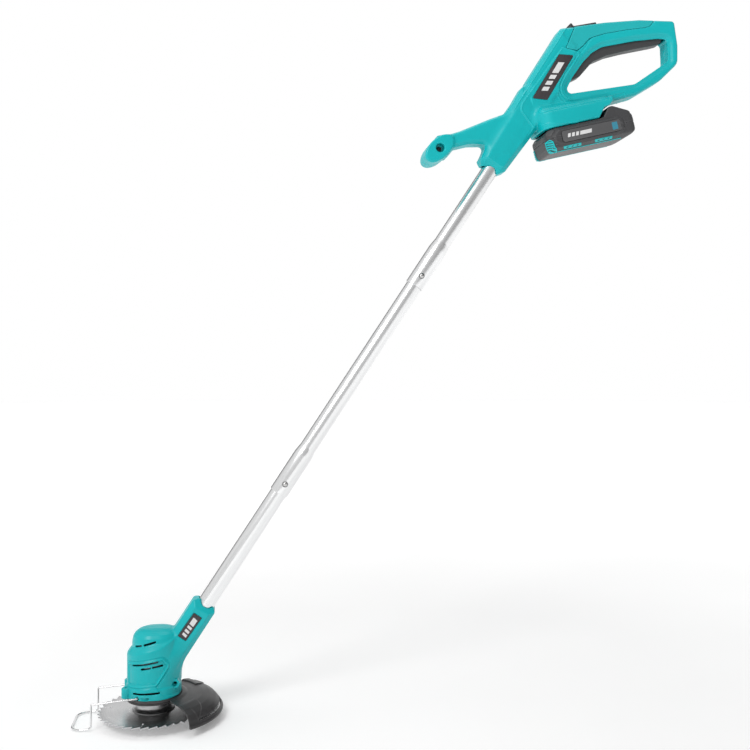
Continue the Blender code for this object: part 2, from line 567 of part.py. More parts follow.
# trigger, hinged at its rear end
lever = [(562.6, 850.6, 2), (575.5, 857.0), (594, 878.2, 10), (616, 888.6, 12), (640, 895.6), (684, 906.3), (695, 909.6, 3), (697.6, 918, 3), (694.5, 925.2, 3),
         (687, 924.6, 3), (681, 915.6), (655, 910.6), (606, 900.4), (590, 892.6, 8), (577, 879.6, 8), (560, 856.8, 2)]
trigger = prism("trigger", corners(lever), -9.0, 9.0, WORLD, 1.2)
cut(trigger, rod("pin_bore", (TRIGGER_PIN[0], -20, TRIGGER_PIN[1]), (TRIGGER_PIN[0], 20, TRIGGER_PIN[1]), 1.75, n=12))
publish(trigger, M_DARK, (TRIGGER_PIN[0], 0, TRIGGER_PIN[1]))
publish(rod("trigger_pin", (TRIGGER_PIN[0], -11.2, TRIGGER_PIN[1]), (TRIGGER_PIN[0], 11.2, TRIGGER_PIN[1]), 1.7, n=12), M_STEEL)

# trigger return spring between the housing and the lever
coil = []
for k in range(4 * 9 + 1):
    a = 2 * math.pi * k / 9
    coil.append((640 + 2.6 * math.cos(a), 2.6 * math.sin(a), 911.6 + 14.0 * k / 36))
publish(wire("trigger_spring", coil, 0.5, res=1), M_STEEL)

# switch with plunger above the lever's front
SW = Matrix.Translation((0.5715, 0, 0.8815)) @ Matrix.Rotation(math.radians(-18.7), 4, "Y")
switch = box("switch_body", (-3.4, -8.0, 8.0), (12.0, 8.0, 27.0), SW)
cut(switch, rod("plunger_bore", (0, 0, 4), (0, 0, 22), 2.9, SW, 20))
publish(switch, M_GREY)
publish(rod("switch_plunger", (0, 0, -4.4), (0, 0, 14.0), 2.6, SW, 16), M_DARK, (571.5, 0, 881.5))
publish(box("control_board", (-13.0, -12.0, 942.0), (-11.4, 12.0, 996.0), SHAFT), M_BOARD)
term = box("terminal_block", (6.4, -18.6, 51.8), (30.0, 18.6, 59.4), PACK)
publish(term, M_GREY)

# ---- battery ---------------------------------------------------------------
CASE = [(2, 6, 4), (112, 6, 8), (123, 8.5, 6), (131, 15, 8), (131.5, 28, 6), (128, 35.6, 3), (5, 36.4, 3), (-1.0, 30, 3), (0, 13, 3)]
case = prism("battery_case_lower", corners(CASE), -33.0, 33.0, PACK, 4.0)
SIDE = [(17, 11.5), (102, 11.5), (112, 17), (112, 30), (104, 34.5), (17, 34.5), (8, 27), (8, 18)]
join(case, prism("side_panel", SIDE, -35.0, 35.0, PACK, 1.8))
for y, lean in ((-27.0, -22.6), (27.0, 22.6)):
    # sloping lower edges
    cut(case, box("lower_slope", (-20, -30, -20), (160, 30, 0),
                  PACK @ Matrix.Translation((0, y * MM, 8.5 * MM)) @ Matrix.Rotation(math.radians(lean), 4, "X")))
cut(case, box("cell_bay", (8.6, -31.4, 11.9), (110.5, 31.4, 60), PACK))
lid_line = 24.0
lid = copy(case, "battery_case_upper")
boolean(lid, box("lid_zone", (-40, -60, lid_line + GAP / 2), (180, 60, 90), PACK), "INTERSECT")
boolean(case, box("tub_zone", (-40, -60, -40), (180, 60, lid_line - GAP / 2), PACK), "INTERSECT")
top = [(9, 33.2), (110.5 + 8, 33.2), (128, 33.2), (127.6, 38.2), (117, 43.0), (102, 50.4), (96.5, 50.4), (86.5, 38.0), (80, 36.9), (9, 36.9)]
join(lid, prism("lid_top", top, -32.2, 32.2, PACK))
join(lid, box("rail_stem", (10.0, -20.0, 35.0), (88, 20.0, 45.9), PACK),
     box("rail_flange", (11.0, -26.0, 45.2), (98, 26.0, 50.8), PACK))
# latch pocket at the rear
cut(lid, box("latch_bay", (118.0, -15.4, 26.5), (140, 15.4, 33.0), PACK))
publish(case, M_GREY, BATTERY_FOOT)
publish(lid, M_GREY, BATTERY_FOOT)
latch = box("battery_latch", (122.4, -15.0, 26.9), (133.2, 15.0, 32.6), PACK)
bevelled(latch, 0.8)
publish(latch, M_TEAL, PACK @ (Vector((122.4, 0, 29.75)) * MM) / MM)
coil = []
for k in range(3 * 8 + 1):
    a = 2 * math.pi * k / 8
    coil.append((118.6 + 3.3 * k / 24, 1.9 * math.cos(a), 29.7 + 1.9 * math.sin(a)))
publish(wire("latch_spring", coil, 0.3, PACK, 1), M_STEEL)
for k in range(5):
    a = 18.6 + k * 19.4
    publish(rod("cell_%d" % (k + 1), (a, -31.0, 21.4), (a, 31.0, 21.4), 9.2, PACK, 20), M_CELL)
for label, y0, y1 in (("near", -35.9, -35.3), ("far", 35.3, 35.9)):
    publish(prism("battery_label_" + label, [(22, 15), (104, 15), (106, 17), (106, 28), (104, 30), (22, 30), (20, 28), (20, 17)], y0, y1, PACK), M_DARK)

# handle screws, heads in the far half
for k, spot in enumerate(SCREWS):
    publish(turned("handle_screw_%d" % (k + 1), [(0, 23.0), (3.2, 23.0), (3.2, 20.7), (1.6, 20.7), (1.6, 0), (0, 0)],
                   Matrix.Translation((spot.x * MM, -0.0100, spot.z * MM)) @ Matrix.Rotation(-math.pi / 2, 4, "X"), 14), M_STEEL)
publish(turned("pommel_screw", [(0, 22.0), (3.4, 22.0), (3.4, 19.7), (1.7, 19.7), (1.7, 0), (0, 0)],
               Matrix.Translation((0.3750, 0.0113, 0.7475)) @ Matrix.Rotation(math.pi / 2, 4, "X"), 14), M_STEEL)
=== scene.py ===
import math

import bmesh
import bpy
import numpy as np
from mathutils import Matrix, Vector


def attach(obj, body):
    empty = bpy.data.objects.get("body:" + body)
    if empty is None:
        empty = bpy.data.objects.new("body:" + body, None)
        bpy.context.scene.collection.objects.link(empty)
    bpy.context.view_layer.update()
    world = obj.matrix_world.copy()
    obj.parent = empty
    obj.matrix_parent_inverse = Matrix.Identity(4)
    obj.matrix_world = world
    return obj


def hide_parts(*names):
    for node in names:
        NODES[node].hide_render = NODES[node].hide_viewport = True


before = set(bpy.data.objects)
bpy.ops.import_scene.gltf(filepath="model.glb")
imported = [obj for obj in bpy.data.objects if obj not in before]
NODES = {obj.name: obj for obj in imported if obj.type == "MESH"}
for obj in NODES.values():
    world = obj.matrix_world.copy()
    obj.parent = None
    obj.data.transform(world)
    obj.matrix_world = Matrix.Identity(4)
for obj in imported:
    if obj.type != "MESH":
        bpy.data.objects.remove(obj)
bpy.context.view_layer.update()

MM = 0.001
F = np.float32
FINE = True

# ---------------------------------------------------------------- dimensions
TILT = math.radians(33.49)
FOOT = (-21.6, 13.0)                 # shaft axis start in X, Z
PACK_TILT = math.radians(14.0)
PACK_FOOT = (526.0, 737.5)
COLLAR = 848.0
TUBE_R = 11.25
SOCKET_R = 12.75
SOCKET2 = (329.0, 388.0, 400.0)
SOCKET1 = (659.0, 718.0, 730.0)
BUTTON1, BUTTON2 = 675.0, 344.0
HEAD_R, RING_R = 33.5, 35.0
SHAFT = Matrix.Translation((FOOT[0] * MM, 0, FOOT[1] * MM)) @ Matrix.Rotation(TILT, 4, "Y")
PACK = Matrix.Translation((PACK_FOOT[0] * MM, 0, PACK_FOOT[1] * MM)) @ Matrix.Rotation(-PACK_TILT, 4, "Y")


# ------------------------------------------------------------- field modelling
class Grid:
    """A block of sample points, in mm, with fields built over it by numpy."""

    def __init__(self, lo, hi, h):
        if not FINE:
            h *= 1.7
        self.h = h
        self.lo = [v - 3 * h for v in lo]
        n = [int(math.ceil((b + 3 * h - a) / h)) + 1 for a, b in zip(self.lo, hi)]
        ax = [np.arange(k, dtype=F) * F(h) + F(a) for k, a in zip(n, self.lo)]
        self.n = n
        self.X = ax[0][:, None, None]
        self.Y = ax[1][None, :, None]
        self.Z = ax[2][None, None, :]

    def full(self, d):
        return np.ascontiguousarray(np.broadcast_to(d, self.n).astype(F))


def smin(a, b, k):
    k = k if isinstance(k, np.ndarray) else F(k)
    h = np.maximum(k - np.abs(a - b), F(0)) / k
    return np.minimum(a, b) - h * h * k * F(0.25)


def smax(a, b, k):
    return -smin(-a, -b, k)


def step(x, a, b):
    t = np.clip((x - F(a)) / F(b - a), 0, 1)
    return t * t * (3 - 2 * t)


def poly(u, v, pts):
    """Signed distance to a closed outline, negative inside."""
    u, v = np.broadcast_arrays(u, v)
    d = np.full(u.shape, 1e9, F)
    s = np.ones(u.shape, F)
    n = len(pts)
    for i in range(n):
        ax, az = pts[i][:2]
        bx, bz = pts[i - 1][:2]
        ex, ez = bx - ax, bz - az
        wx, wz = u - F(ax), v - F(az)
        t = np.clip((wx * F(ex) + wz * F(ez)) / F(max(ex * ex + ez * ez, 1e-9)), 0, 1)
        dx, dz = wx - F(ex) * t, wz - F(ez) * t
        d = np.minimum(d, dx * dx + dz * dz)
        c1, c2, c3 = v >= az, v < bz, F(ex) * wz > F(ez) * wx
        s = np.where((c1 & c2 & c3) | (~c1 & ~c2 & ~c3), -s, s)
    return s * np.sqrt(d)


def line(u, v, pts):
    """Distance to an open polyline."""
    u, v = np.broadcast_arrays(u, v)
    d = np.full(u.shape, 1e9, F)
    for (ax, az), (bx, bz) in zip(pts, pts[1:]):
        ex, ez = bx - ax, bz - az
        wx, wz = u - F(ax), v - F(az)
        t = np.clip((wx * F(ex) + wz * F(ez)) / F(ex * ex + ez * ez), 0, 1)
        d = np.minimum(d, (wx - F(ex) * t) ** 2 + (wz - F(ez) * t) ** 2)
    return np.sqrt(d)


def extrude(d, y, h, r):
    """Outline d made h thick to each side, with edges rounded to r."""
    a, b = d + F(r), np.abs(y) - F(h - r)
    return np.minimum(np.maximum(a, b), 0) + np.sqrt(np.maximum(a, 0) ** 2 + np.maximum(b, 0) ** 2) - F(r)


def boxd(u, v, w, c, s, r=0.0):
    a, b, e = np.abs(u - F(c[0])) - F(s[0] - r), np.abs(v - F(c[1])) - F(s[1] - r), np.abs(w - F(c[2])) - F(s[2] - r)
    return (np.minimum(np.maximum(np.maximum(a, b), e), 0)
            + np.sqrt(np.maximum(a, 0) ** 2 + np.maximum(b, 0) ** 2 + np.maximum(e, 0) ** 2) - F(r))


def rect(u, v, c, s, r=0.0):
    a, b = np.abs(u - F(c[0])) - F(s[0] - r), np.abs(v - F(c[1])) - F(s[1] - r)
    return np.minimum(np.maximum(a, b), 0) + np.sqrt(np.maximum(a, 0) ** 2 + np.maximum(b, 0) ** 2) - F(r)


def corners(points, seg=10):
    """Outline whose points (x, z, radius) are rounded."""
    out = []
    n = len(points)
    for i, pt in enumerate(points):
        here = Vector(pt[:2])
        r = pt[2] if len(pt) > 2 else 0.0
        a = Vector(points[i - 1][:2]) - here
        b = Vector(points[(i + 1) % n][:2]) - here
        la, lb = a.length, b.length
        a.normalize()
        b.normalize()
        half = a.angle(b) / 2
        if r <= 0 or half > math.radians(88.8):
            out.append(tuple(here))
            continue
        cut = min(r / math.tan(half), 0.46 * la, 0.46 * lb)
        rad = cut * math.tan(half)
        mid = here + (a + b).normalized() * (rad / math.sin(half))
        s, e = here + a * cut - mid, here + b * cut - mid
        sweep = s.angle_signed(e)
        steps = max(2, int(abs(math.degrees(sweep)) / seg))
        for k in range(steps + 1):
            t = -sweep * k / steps
            c, d = math.cos(t), math.sin(t)
            out.append((mid.x + s.x * c - s.y * d, mid.y + s.x * d + s.y * c))
    return out


def sample(D, g, P):
    """Trilinear value of field D at points P (mm)."""
    q = (P - np.array(g.lo, F)) / F(g.h)
    i = np.clip(np.floor(q).astype(np.int32), 0, np.array(D.shape) - 2)
    f = np.clip(q - i, 0, 1).astype(F)
    i0, i1, i2 = i.T
    fx, fy, fz = f.T
    c = [D[i0 + a, i1 + b, i2 + e] for a in (0, 1) for b in (0, 1) for e in (0, 1)]
    c00, c01 = c[0] * (1 - fz) + c[1] * fz, c[2] * (1 - fz) + c[3] * fz
    c10, c11 = c[4] * (1 - fz) + c[5] * fz, c[6] * (1 - fz) + c[7] * fz
    return (c00 * (1 - fy) + c01 * fy) * (1 - fx) + (c10 * (1 - fy) + c11 * fy) * fx


def slope(D, g, P):
    e = F(g.h * 0.6)
    out = np.empty(P.shape, F)
    for k in range(3):
        o = np.zeros(3, F)
        o[k] = e
        out[:, k] = sample(D, g, P + o) - sample(D, g, P - o)
    return out / (2 * e)


def skin(name, D, g, frame_m=None, keep=0.35, mirror=False):
    """Surface of field D as a mesh object, thinned to keep of its faces, with the field's own normals."""
    D = g.full(D)
    D[0], D[-1], D[:, 0], D[:, -1], D[:, :, 0], D[:, :, -1] = 9, 9, 9, 9, 9, 9
    S = D < 0
    c = np.zeros([k - 1 for k in D.shape], np.uint8)
    for a in (0, 1):
        for b in (0, 1):
            for e in (0, 1):
                c += S[a:S.shape[0] - 1 + a, b:S.shape[1] - 1 + b, e:S.shape[2] - 1 + e]
    cells = np.argwhere((c > 0) & (c < 8))
    ids = np.full(c.shape, -1, np.int32)
    ids[cells[:, 0], cells[:, 1], cells[:, 2]] = np.arange(len(cells), dtype=np.int32)
    off = np.array([[a, b, e] for a in (0, 1) for b in (0, 1) for e in (0, 1)], np.int32)
    vals = np.stack([D[cells[:, 0] + o[0], cells[:, 1] + o[1], cells[:, 2] + o[2]] for o in off], 1)
    pos = np.zeros((len(cells), 3), F)
    cnt = np.zeros(len(cells), F)
    for i in range(8):
        for j in range(i + 1, 8):
            if np.abs(off[i] - off[j]).sum() != 1:
                continue
            va, vb = vals[:, i], vals[:, j]
            m = (va < 0) != (vb < 0)
            t = np.where(m, va / np.where(m, va - vb, 1), 0).astype(F)
            pos += np.where(m[:, None], off[i] + t[:, None] * (off[j] - off[i]), 0)
            cnt += m
    V = ((pos / cnt[:, None] + cells) * F(g.h) + np.array(g.lo, F)).astype(F)
    quads = []
    for k in range(3):
        a = [slice(1, -1)] * 3
        b = [slice(1, -1)] * 3
        a[k], b[k] = slice(0, -1), slice(1, None)
        s0, s1 = S[tuple(a)], S[tuple(b)]
        for flip, m in ((False, s0 & ~s1), (True, ~s0 & s1)):
            e = np.argwhere(m)
            e[:, [x for x in range(3) if x != k]] += 1
            u, w = [(1, 2), (2, 0), (0, 1)][k]
            ring = []
            for du, dw in ((-1, -1), (0, -1), (0, 0), (-1, 0)):
                q = e.copy()
                q[:, u] += du
                q[:, w] += dw
                ring.append(ids[q[:, 0], q[:, 1], q[:, 2]])
            quads.append(np.stack(ring[::-1] if flip else ring, 1))
    Q = np.concatenate(quads)
    mesh = bpy.data.meshes.new(name)
    mesh.vertices.add(len(V))
    mesh.vertices.foreach_set("co", (V * F(MM)).ravel())
    mesh.loops.add(Q.size)
    mesh.loops.foreach_set("vertex_index", Q.ravel().astype(np.int32))
    mesh.polygons.add(len(Q))
    mesh.polygons.foreach_set("loop_start", np.arange(0, Q.size, 4, dtype=np.int32))
    mesh.update(calc_edges=True)
    mesh.validate()
    ob = bpy.data.objects.new(name, mesh)
    bpy.context.scene.collection.objects.link(ob)
    if keep < 1:
        mod = ob.modifiers.new("thin", "DECIMATE")
        mod.ratio = keep
        deps = bpy.context.evaluated_depsgraph_get()
        thin = bpy.data.meshes.new_from_object(ob.evaluated_get(deps))
        ob.modifiers.clear()
        ob.data = thin
        bpy.data.meshes.remove(mesh)
        mesh = thin
    co = np.empty(len(mesh.vertices) * 3, F)
    mesh.vertices.foreach_get("co", co)
    P = co.reshape(-1, 3) / F(MM)
    for _ in range(2):
        n = slope(D, g, P)
        l2 = np.maximum((n * n).sum(1), 0.2)
        P = P - n * np.clip(sample(D, g, P) / l2, -0.4 * g.h, 0.4 * g.h)[:, None]
    n = slope(D, g, P)
    n /= np.maximum(np.linalg.norm(n, axis=1), 1e-6)[:, None]
    if mirror:
        P[:, 1] *= -1
        n[:, 1] *= -1
        mesh.flip_normals()
    mesh.vertices.foreach_set("co", (P * F(MM)).ravel())
    mesh.shade_smooth()
    if frame_m is not None:
        mesh.transform(frame_m)
        n = n @ np.array(frame_m.to_3x3(), F).T
    mesh.update()
    mesh.normals_split_custom_set_from_vertices(n.astype(float).tolist())
    return ob


# ------------------------------------------------------------------- outlines
BODY = [(-20.4, 854), (-14, 848), (9, 848), (17.6, 860), (22.4, 936), (23.8, 1003), (23.8, 1032), (6, 1066), (-25.4, 1069), (-24.6, 990)]
LOOP = [(547, 920.5, 5), (566, 923.5), (610, 932.0), (660, 938.6), (713, 940.4, 5), (718.5, 906), (718.5, 881, 14), (692, 855.5, 25),
        (656, 833.5, 25), (620, 822.5), (560, 806), (505, 800), (500, 846)]
HOLE = [(551.3, 829.4, 6), (563, 853), (579, 876, 16), (592, 889.5, 16), (606, 898.2, 20), (655, 909.6), (690, 914.8), (703.5, 914.5, 6),
        (705.0, 884, 6), (655, 849.2, 16)]
ARM = [(373, 765), (391, 768.6), (404, 773), (446, 791.5), (468, 800, 14), (480, 815, 14), (492, 836), (505, 800), (472, 745), (439.0, 734),
       (441.8, 757.5, 7), (417, 756), (397, 750.5, 10), (386, 738)]
OVAL = [(374.5 + 24.0 * math.cos(t) * math.cos(math.radians(44)) - 13.5 * math.sin(t) * math.sin(math.radians(44)),
         747.0 + 24.0 * math.cos(t) * math.sin(math.radians(44)) + 13.5 * math.sin(t) * math.cos(math.radians(44)))
        for t in (2 * math.pi * k / 48 for k in range(48))]
SHOE = [(-3, 38.2), (79.7, 38.2, 1.5), (90, 50.4, 2), (98, 52, 2), (103, 56), (111.5, 68.4, 1), (5, 68.4, 6), (-3, 60, 4)]
COVER = [(565.6, 950), (565.6, 921.3), (552.4, 891.6, 1), (568.0, 889.8, 4), (577, 896.9, 6), (587, 908.3, 14), (609, 915.9, 20),
         (638, 922.5), (667.5, 927.8), (675.5, 930.4, 4), (683, 939.4), (688, 950)]
MOUTH = [(571, 850), (594, 874), (618, 885), (690, 902), (701.5, 908), (701.5, 927.5), (683, 927.5), (655, 916), (606, 906), (588, 900), (572, 888),
         (556, 864), (553, 846)]
BADGE = [(541.9, 882.7, 1.5), (564.0, 882.7, 1.5), (525.6, 818.8, 1.5), (503.2, 819.9, 1.5)]
PANEL = [(547.0, 893.0, 2), (566.0, 889.0, 6), (575.0, 888.0, 6), (540.0, 829.0, 10), (549.0, 816.0, 12), (640, 838), (640, 790), (505, 780),
         (487.0, 803.0, 6), (489.0, 813.0, 4)]


def shaft_uv(X, Z):
    x, z = X - F(FOOT[0]), Z - F(FOOT[1])
    return x * F(math.cos(TILT)) - z * F(math.sin(TILT)), x * F(math.sin(TILT)) + z * F(math.cos(TILT))


def pack_uv(X, Z):
    x, z = X - F(PACK_FOOT[0]), Z - F(PACK_FOOT[1])
    return x * F(math.cos(PACK_TILT)) + z * F(math.sin(PACK_TILT)), -x * F(math.sin(PACK_TILT)) + z * F(math.cos(PACK_TILT))


def handle_outer(g, parts=True):
    """The handle's outer form, before it is split, hollowed and cut."""
    X, Y, Z = g.X, g.Y, g.Z
    ay = np.abs(Y)
    p, s = shaft_uv(X, Z)
    a, n = pack_uv(X, Z)
    pb = poly(p, s, BODY)
    dl = poly(X, Z, corners(LOOP))
    dh = poly(X, Z, corners(HOLE))
    body = smax(smax(pb, ay - F(17.0), 1.6), (pb + ay - F(17.0 - 6.2)) * F(0.7071), 1.4)
    body = smax(body, (F(COLLAR) - s + ay - F(17.0 - 11.5)) * F(0.7071), 1.2)
    loop = extrude(dl, Y, 15.5, 4.6)
    arm = extrude(poly(X, Z, corners(ARM)), Y, 14.0, 6.0)
    pommel = extrude(poly(X, Z, OVAL), Y, 19.0, 2.6)
    plan = rect(a, Y, (71.0, 0.0), (73.0, 34.0), 17.0)
    shoe = smax(poly(a, n, corners(SHOE)), plan, 2.4)
    shoe = smax(shoe, (n - F(68.4) + (ay - F(34.0)) + F(9.0)) * F(0.7071), 3.0)
    D = smin(body, loop, 3.0)
    # the arm flows out of the body's front chamfer
    D = smin(D, arm, 7.0)
    D = smin(D, pommel, 5.0)
    up = smin(D, shoe, 11.0)
    low = smin(D, shoe, 2.0)
    w = step(n, 40.0, 56.0)
    D = up * w + low * (1 - w)
    # the loop's opening with its broad cove, 9 mm wide and 3 mm deep
    D = smax(D, -dh, 1.2)
    cove = (ay - F(15.5)) + F(3.4) * (1 - step(dh, 1.0, 8.5))
    near = dh < 14
    D = np.where(near & (n > 66.0), smax(D, np.where(near, cove, F(-9)), 1.2), D)
    return D, dict(p=p, s=s, a=a, n=n, pb=pb, dl=dl, dh=dh, ay=ay)


def relief(D, c, X, Z):
    """Raised and sunk contour lines on the handle's flanks."""
    ay, p, s, dh, n, a = c["ay"], c["p"], c["s"], c["dh"], c["n"], c["a"]
    face = step(ay, 10.0, 12.5)
    # twin ridge round the loop's front
    hug = np.exp(-((dh - 10.2) / 0.85) ** 2) + 0.8 * np.exp(-((dh - 13.6) / 0.85) ** 2)
    where = (1 - step(X, 560, 590)) * step(n, 70, 74) * step(s, 985, 995)
    D = D - F(1.25) * (hug * where) * face
    # step along the front edge, then the raised panel round the badge
    panel = poly(X, Z, corners(PANEL))
    D = D - F(0.5) * np.exp(-((panel + F(1.2)) / 0.8) ** 2) * step(s, 905, 925) * face + F(1.15) * step(panel, -0.4, 0.4) * step(s, 905, 925) * step(-p, -17, -15.5) * step(dh, 9, 12) * face
    rib = np.exp(-((p + F(18.3) + (s - 850) * F(0.013)) / 0.8) ** 2)
    D = D - F(1.1) * rib * step(s, 930, 945) * face
    return D


def handle_half(side):
    """One moulded shell: outer form, 2.6 mm wall, ribs, posts and openings."""
    g = Grid((354.0, -35.0, 711.0), (720.5, 0.0, 942.5), 0.75)
    X, Y, Z = g.X, g.Y, g.Z
    D, c = handle_outer(g)
    p, s, a, n, ay = c["p"], c["s"], c["a"], c["n"], c["ay"]
    D = relief(D, c, X, Z)
    # seat of the grip cover: 2.3 mm lower, with a sharp groove at its edge
    zone = poly(X, Z, corners(COVER))
    D = np.where(zone < 0.35, smax(D + F(2.3), (zone - F(0.35)) * F(-1) - F(40), 1.0), D)
    # groove lines on the shoe
    D = D + F(0.8) * np.exp(-((n - 60.4) / 0.7) ** 2) * step(ay, 24, 28) * (1 - step(a, 99, 104))
    # hollow
    inside = D + F(2.7)
    r = np.sqrt(p * p + Y * Y)
    for at in (862.0, 882.0, 900.0):
        inside = np.maximum(inside, F(1.2) - np.abs(s - F(at)) + np.where(np.abs(s - F(at)) > 12, F(-50), F(0)))
    for x, z in ((497.6, 776.3), (534.2, 880.3)):
        inside = np.maximum(inside, F(4.4) - np.sqrt((X - F(x)) ** 2 + (Z - F(z)) ** 2))
    inside = np.maximum(inside, F(5.8) - np.abs(X - F(709.2)))
    inside = np.maximum(inside, F(7.5) - np.sqrt((X - F(684.0)) ** 2 + (Z - F(861.0)) ** 2))
    inside = np.maximum(inside, F(8.2) - np.sqrt((X - F(375.0)) ** 2 + (Z - F(747.5)) ** 2))
    inside = np.maximum(inside, F(1.0) - np.abs(X - F(420.0)))
    floor = smax(np.abs(a - F(60)) - F(90), np.abs(n - F(52.0)) - F(2.4), 0.5)
    inside = np.maximum(inside, np.where(a > -2, -np.maximum(floor, ay - F(32.0)), F(-99)))
    inside = np.maximum(inside, np.where((n < 52) & (a > -2), ay * 0 + F(5), F(-99)) * np.where(ay < 30, F(1), F(1)))
    D = np.maximum(D, -inside)
    # tube seat, flared at its mouth
    flare = F(TUBE_R + 0.3) + np.clip(F(851.5) - s, 0, 6) * F(0.75)
    D = np.maximum(D, -np.maximum(r - flare, s - F(904.0)))
    # trigger mouth, battery rails, terminal bay
    D = smax(D, -np.maximum(poly(X, Z, MOUTH), ay - F(9.6)), 0.6)
    D = np.maximum(D, -boxd(a, Y, n, (106, 0, 40.5), (100, 20.4, 4.5), 0.3))
    D = np.maximum(D, -boxd(a, Y, n, (106, 0, 47.7), (100, 26.4, 3.7), 0.3))
    D = np.maximum(D, -boxd(a, Y, n, (22, 0, 55), (18, 19.0, 5.0)))
    # badge pocket, slider slot and seat
    D = np.maximum(D, -np.maximum(poly(X, Z, corners(BADGE)), F(16.4) - ay))
    u = (X - F(578.0)) * F(math.cos(math.radians(11))) + (Z - F(925.0)) * F(math.sin(math.radians(11)))
    w = -(X - F(578.0)) * F(math.sin(math.radians(11))) + (Z - F(925.0)) * F(math.cos(math.radians(11)))
    D = np.maximum(D, -boxd(u, Y, w, (-2, 0, -2), (14, 3.4, 12)))
    D = np.maximum(D, -boxd(u, Y, w, (-3, 0, 5.8), (27, 7.4, 6.0)))
    if side < 0:
        well = np.sqrt((X - F(375.0)) ** 2 + (Z - F(747.5)) ** 2)
        rim = F(5.9) + np.clip(F(1.0) - (F(19.0) - ay), 0, 1.0)
        D = np.maximum(D, -np.maximum(well - rim, F(8.0) - ay))
        D = np.maximum(D, -(well - F(2.0)))
    for x, z in ((497.6, 776.3), (534.2, 880.3), (709.2, 921.0), (684.0, 861.0)):
        q = np.sqrt((X - F(x)) ** 2 + (Z - F(z)) ** 2)
        D = np.maximum(D, -np.maximum(q - F(1.9), ay - F(11.0) if side < 0 else ay - F(30.0)))
        if side > 0:
            rim = F(3.6) + np.clip(ay - F(14.8), 0, 0.8)
            D = np.maximum(D, -np.maximum(q - rim, F(10.5) - ay))
    D = smax(D, Y + F(0.14), 0.7)
    return skin("handle_shell_" + ("near" if side < 0 else "far"), D, g, keep=0.3, mirror=side > 0)


def grip_cover():
    g = Grid((551.0, -16.5, 888.0), (685.0, 16.5, 942.0), 0.6)
    X, Y, Z = g.X, g.Y, g.Z
    D, c = handle_outer(g)
    zone = poly(X, Z, corners(COVER))
    outer = smax(D - F(0.15), zone, 0.9)
    D = np.maximum(outer, -(D + F(2.0)))
    u = (X - F(578.0)) * F(math.cos(math.radians(11))) + (Z - F(925.0)) * F(math.sin(math.radians(11)))
    w = -(X - F(578.0)) * F(math.sin(math.radians(11))) + (Z - F(925.0)) * F(math.cos(math.radians(11)))
    D = np.maximum(D, -boxd(u, Y, w, (-2, 0, -2), (14, 3.4, 12)))
    D = np.maximum(D, -boxd(u, Y, w, (-3, 0, 5.8), (27, 7.4, 6.0)))
    return skin("grip_cover_shell", D, g, keep=0.35)


# ----------------------------------------------------------------------- head
PROF = [(0, 118.6), (10, 118.3), (16, 117.2), (21, 114.8), (25, 110.8), (27.0, 105.0), (27.2, 97.0), (31.4, 90.8), (33.3, 85.8), (33.4, 48.8),
        (34.9, 46.2), (34.9, 30.6), (0, 30.6)]
PENT = [(-42, 74.0), (12.5, 83.2), (18.8, 75.4), (5.0, 54.9), (-6, 54.3), (-42, 51.0)]


def head_outer(g):
    X, Y, Z = g.X, g.Y, g.Z
    ay = np.abs(Y)
    R = np.sqrt(X * X + Y * Y)
    p, s = shaft_uv(X, Z)
    # drum whose shoulder climbs towards the neck, with the dome standing in it
    foot = F(96.6) + F(0.22) * (X + F(25.0)) + F(0.012) * np.maximum(X - F(3.0), 0) ** 2
    rim = F(87.6) + F(0.24) * (X + F(33.0)) + F(0.010) * np.maximum(X - F(4.0), 0) ** 2
    shawl = (Z - (foot + (rim - foot) * np.maximum(R - F(27.0), F(-2.0)) / F(6.4))) * F(0.60)
    drum = smax(poly(R, Z, [(0, 125), (33.4, 125), (33.4, 48.8), (34.9, 46.2), (34.9, 34.3), (0, 34.3)]), shawl, 1.3)
    RL = np.sqrt((X - np.clip(X, 0, 8)) ** 2 + Y * Y)
    dome = poly(RL, Z, [(0, 118.6), (8, 118.4), (14, 117.5), (19, 115.7), (23, 112.6), (25.6, 108.6), (26.9, 103.0), (27.1, 97.0), (27.1, 50.0), (0, 50.0)])
    D = smin(drum, dome, 0.7)
    neck = smax(smax(np.abs(p + F(1.0)) - F(16.6), ay - F(17.0), 1.6), (np.abs(p + F(1.0)) + ay - F(16.6 + 17.0 - 6.4)) * F(0.7071), 1.2)
    neck = smax(neck, s - F(161.5), 1.0)
    neck = smax(neck, (s - F(161.0) + ay - F(17.0 - 9.0)) * F(0.7071), 1.2)
    neck = smax(neck, (s - F(161.0) + np.abs(p + F(1.0)) - F(16.6 - 4.6)) * F(0.7071), 1.2)
    neck = smax(neck, F(48.0) - Z, 8.0)
    neck = np.maximum(neck, F(20.0) - s)
    D = smin(D, neck, F(2.5) + F(12.0) * step(p, -13.0, 2.0) - F(8.0) * step(p, 5.0, 15.0) + F(3.0) * step(Z, 96.0, 84.0))
    # two lugs at the front and one pad at the back on the base ring
    for y in (-17.0, 17.0):
        q = np.sqrt((X + F(32.6)) ** 2 + (Y - F(y)) ** 2)
        D = smin(D, smax(q - F(6.0), np.abs(Z - F(39.4)) - F(8.0), 1.0), 1.2)
        D = np.maximum(D, -np.maximum(q - F(2.1), F(39.0) - Z))
    pad = boxd(X, Y, Z, (27.5, 0, 50.0), (5.6, 6.5, 5.5), 1.2)
    D = smin(D, pad, 2.0)
    return D, dict(R=R, p=p, s=s, ay=ay)


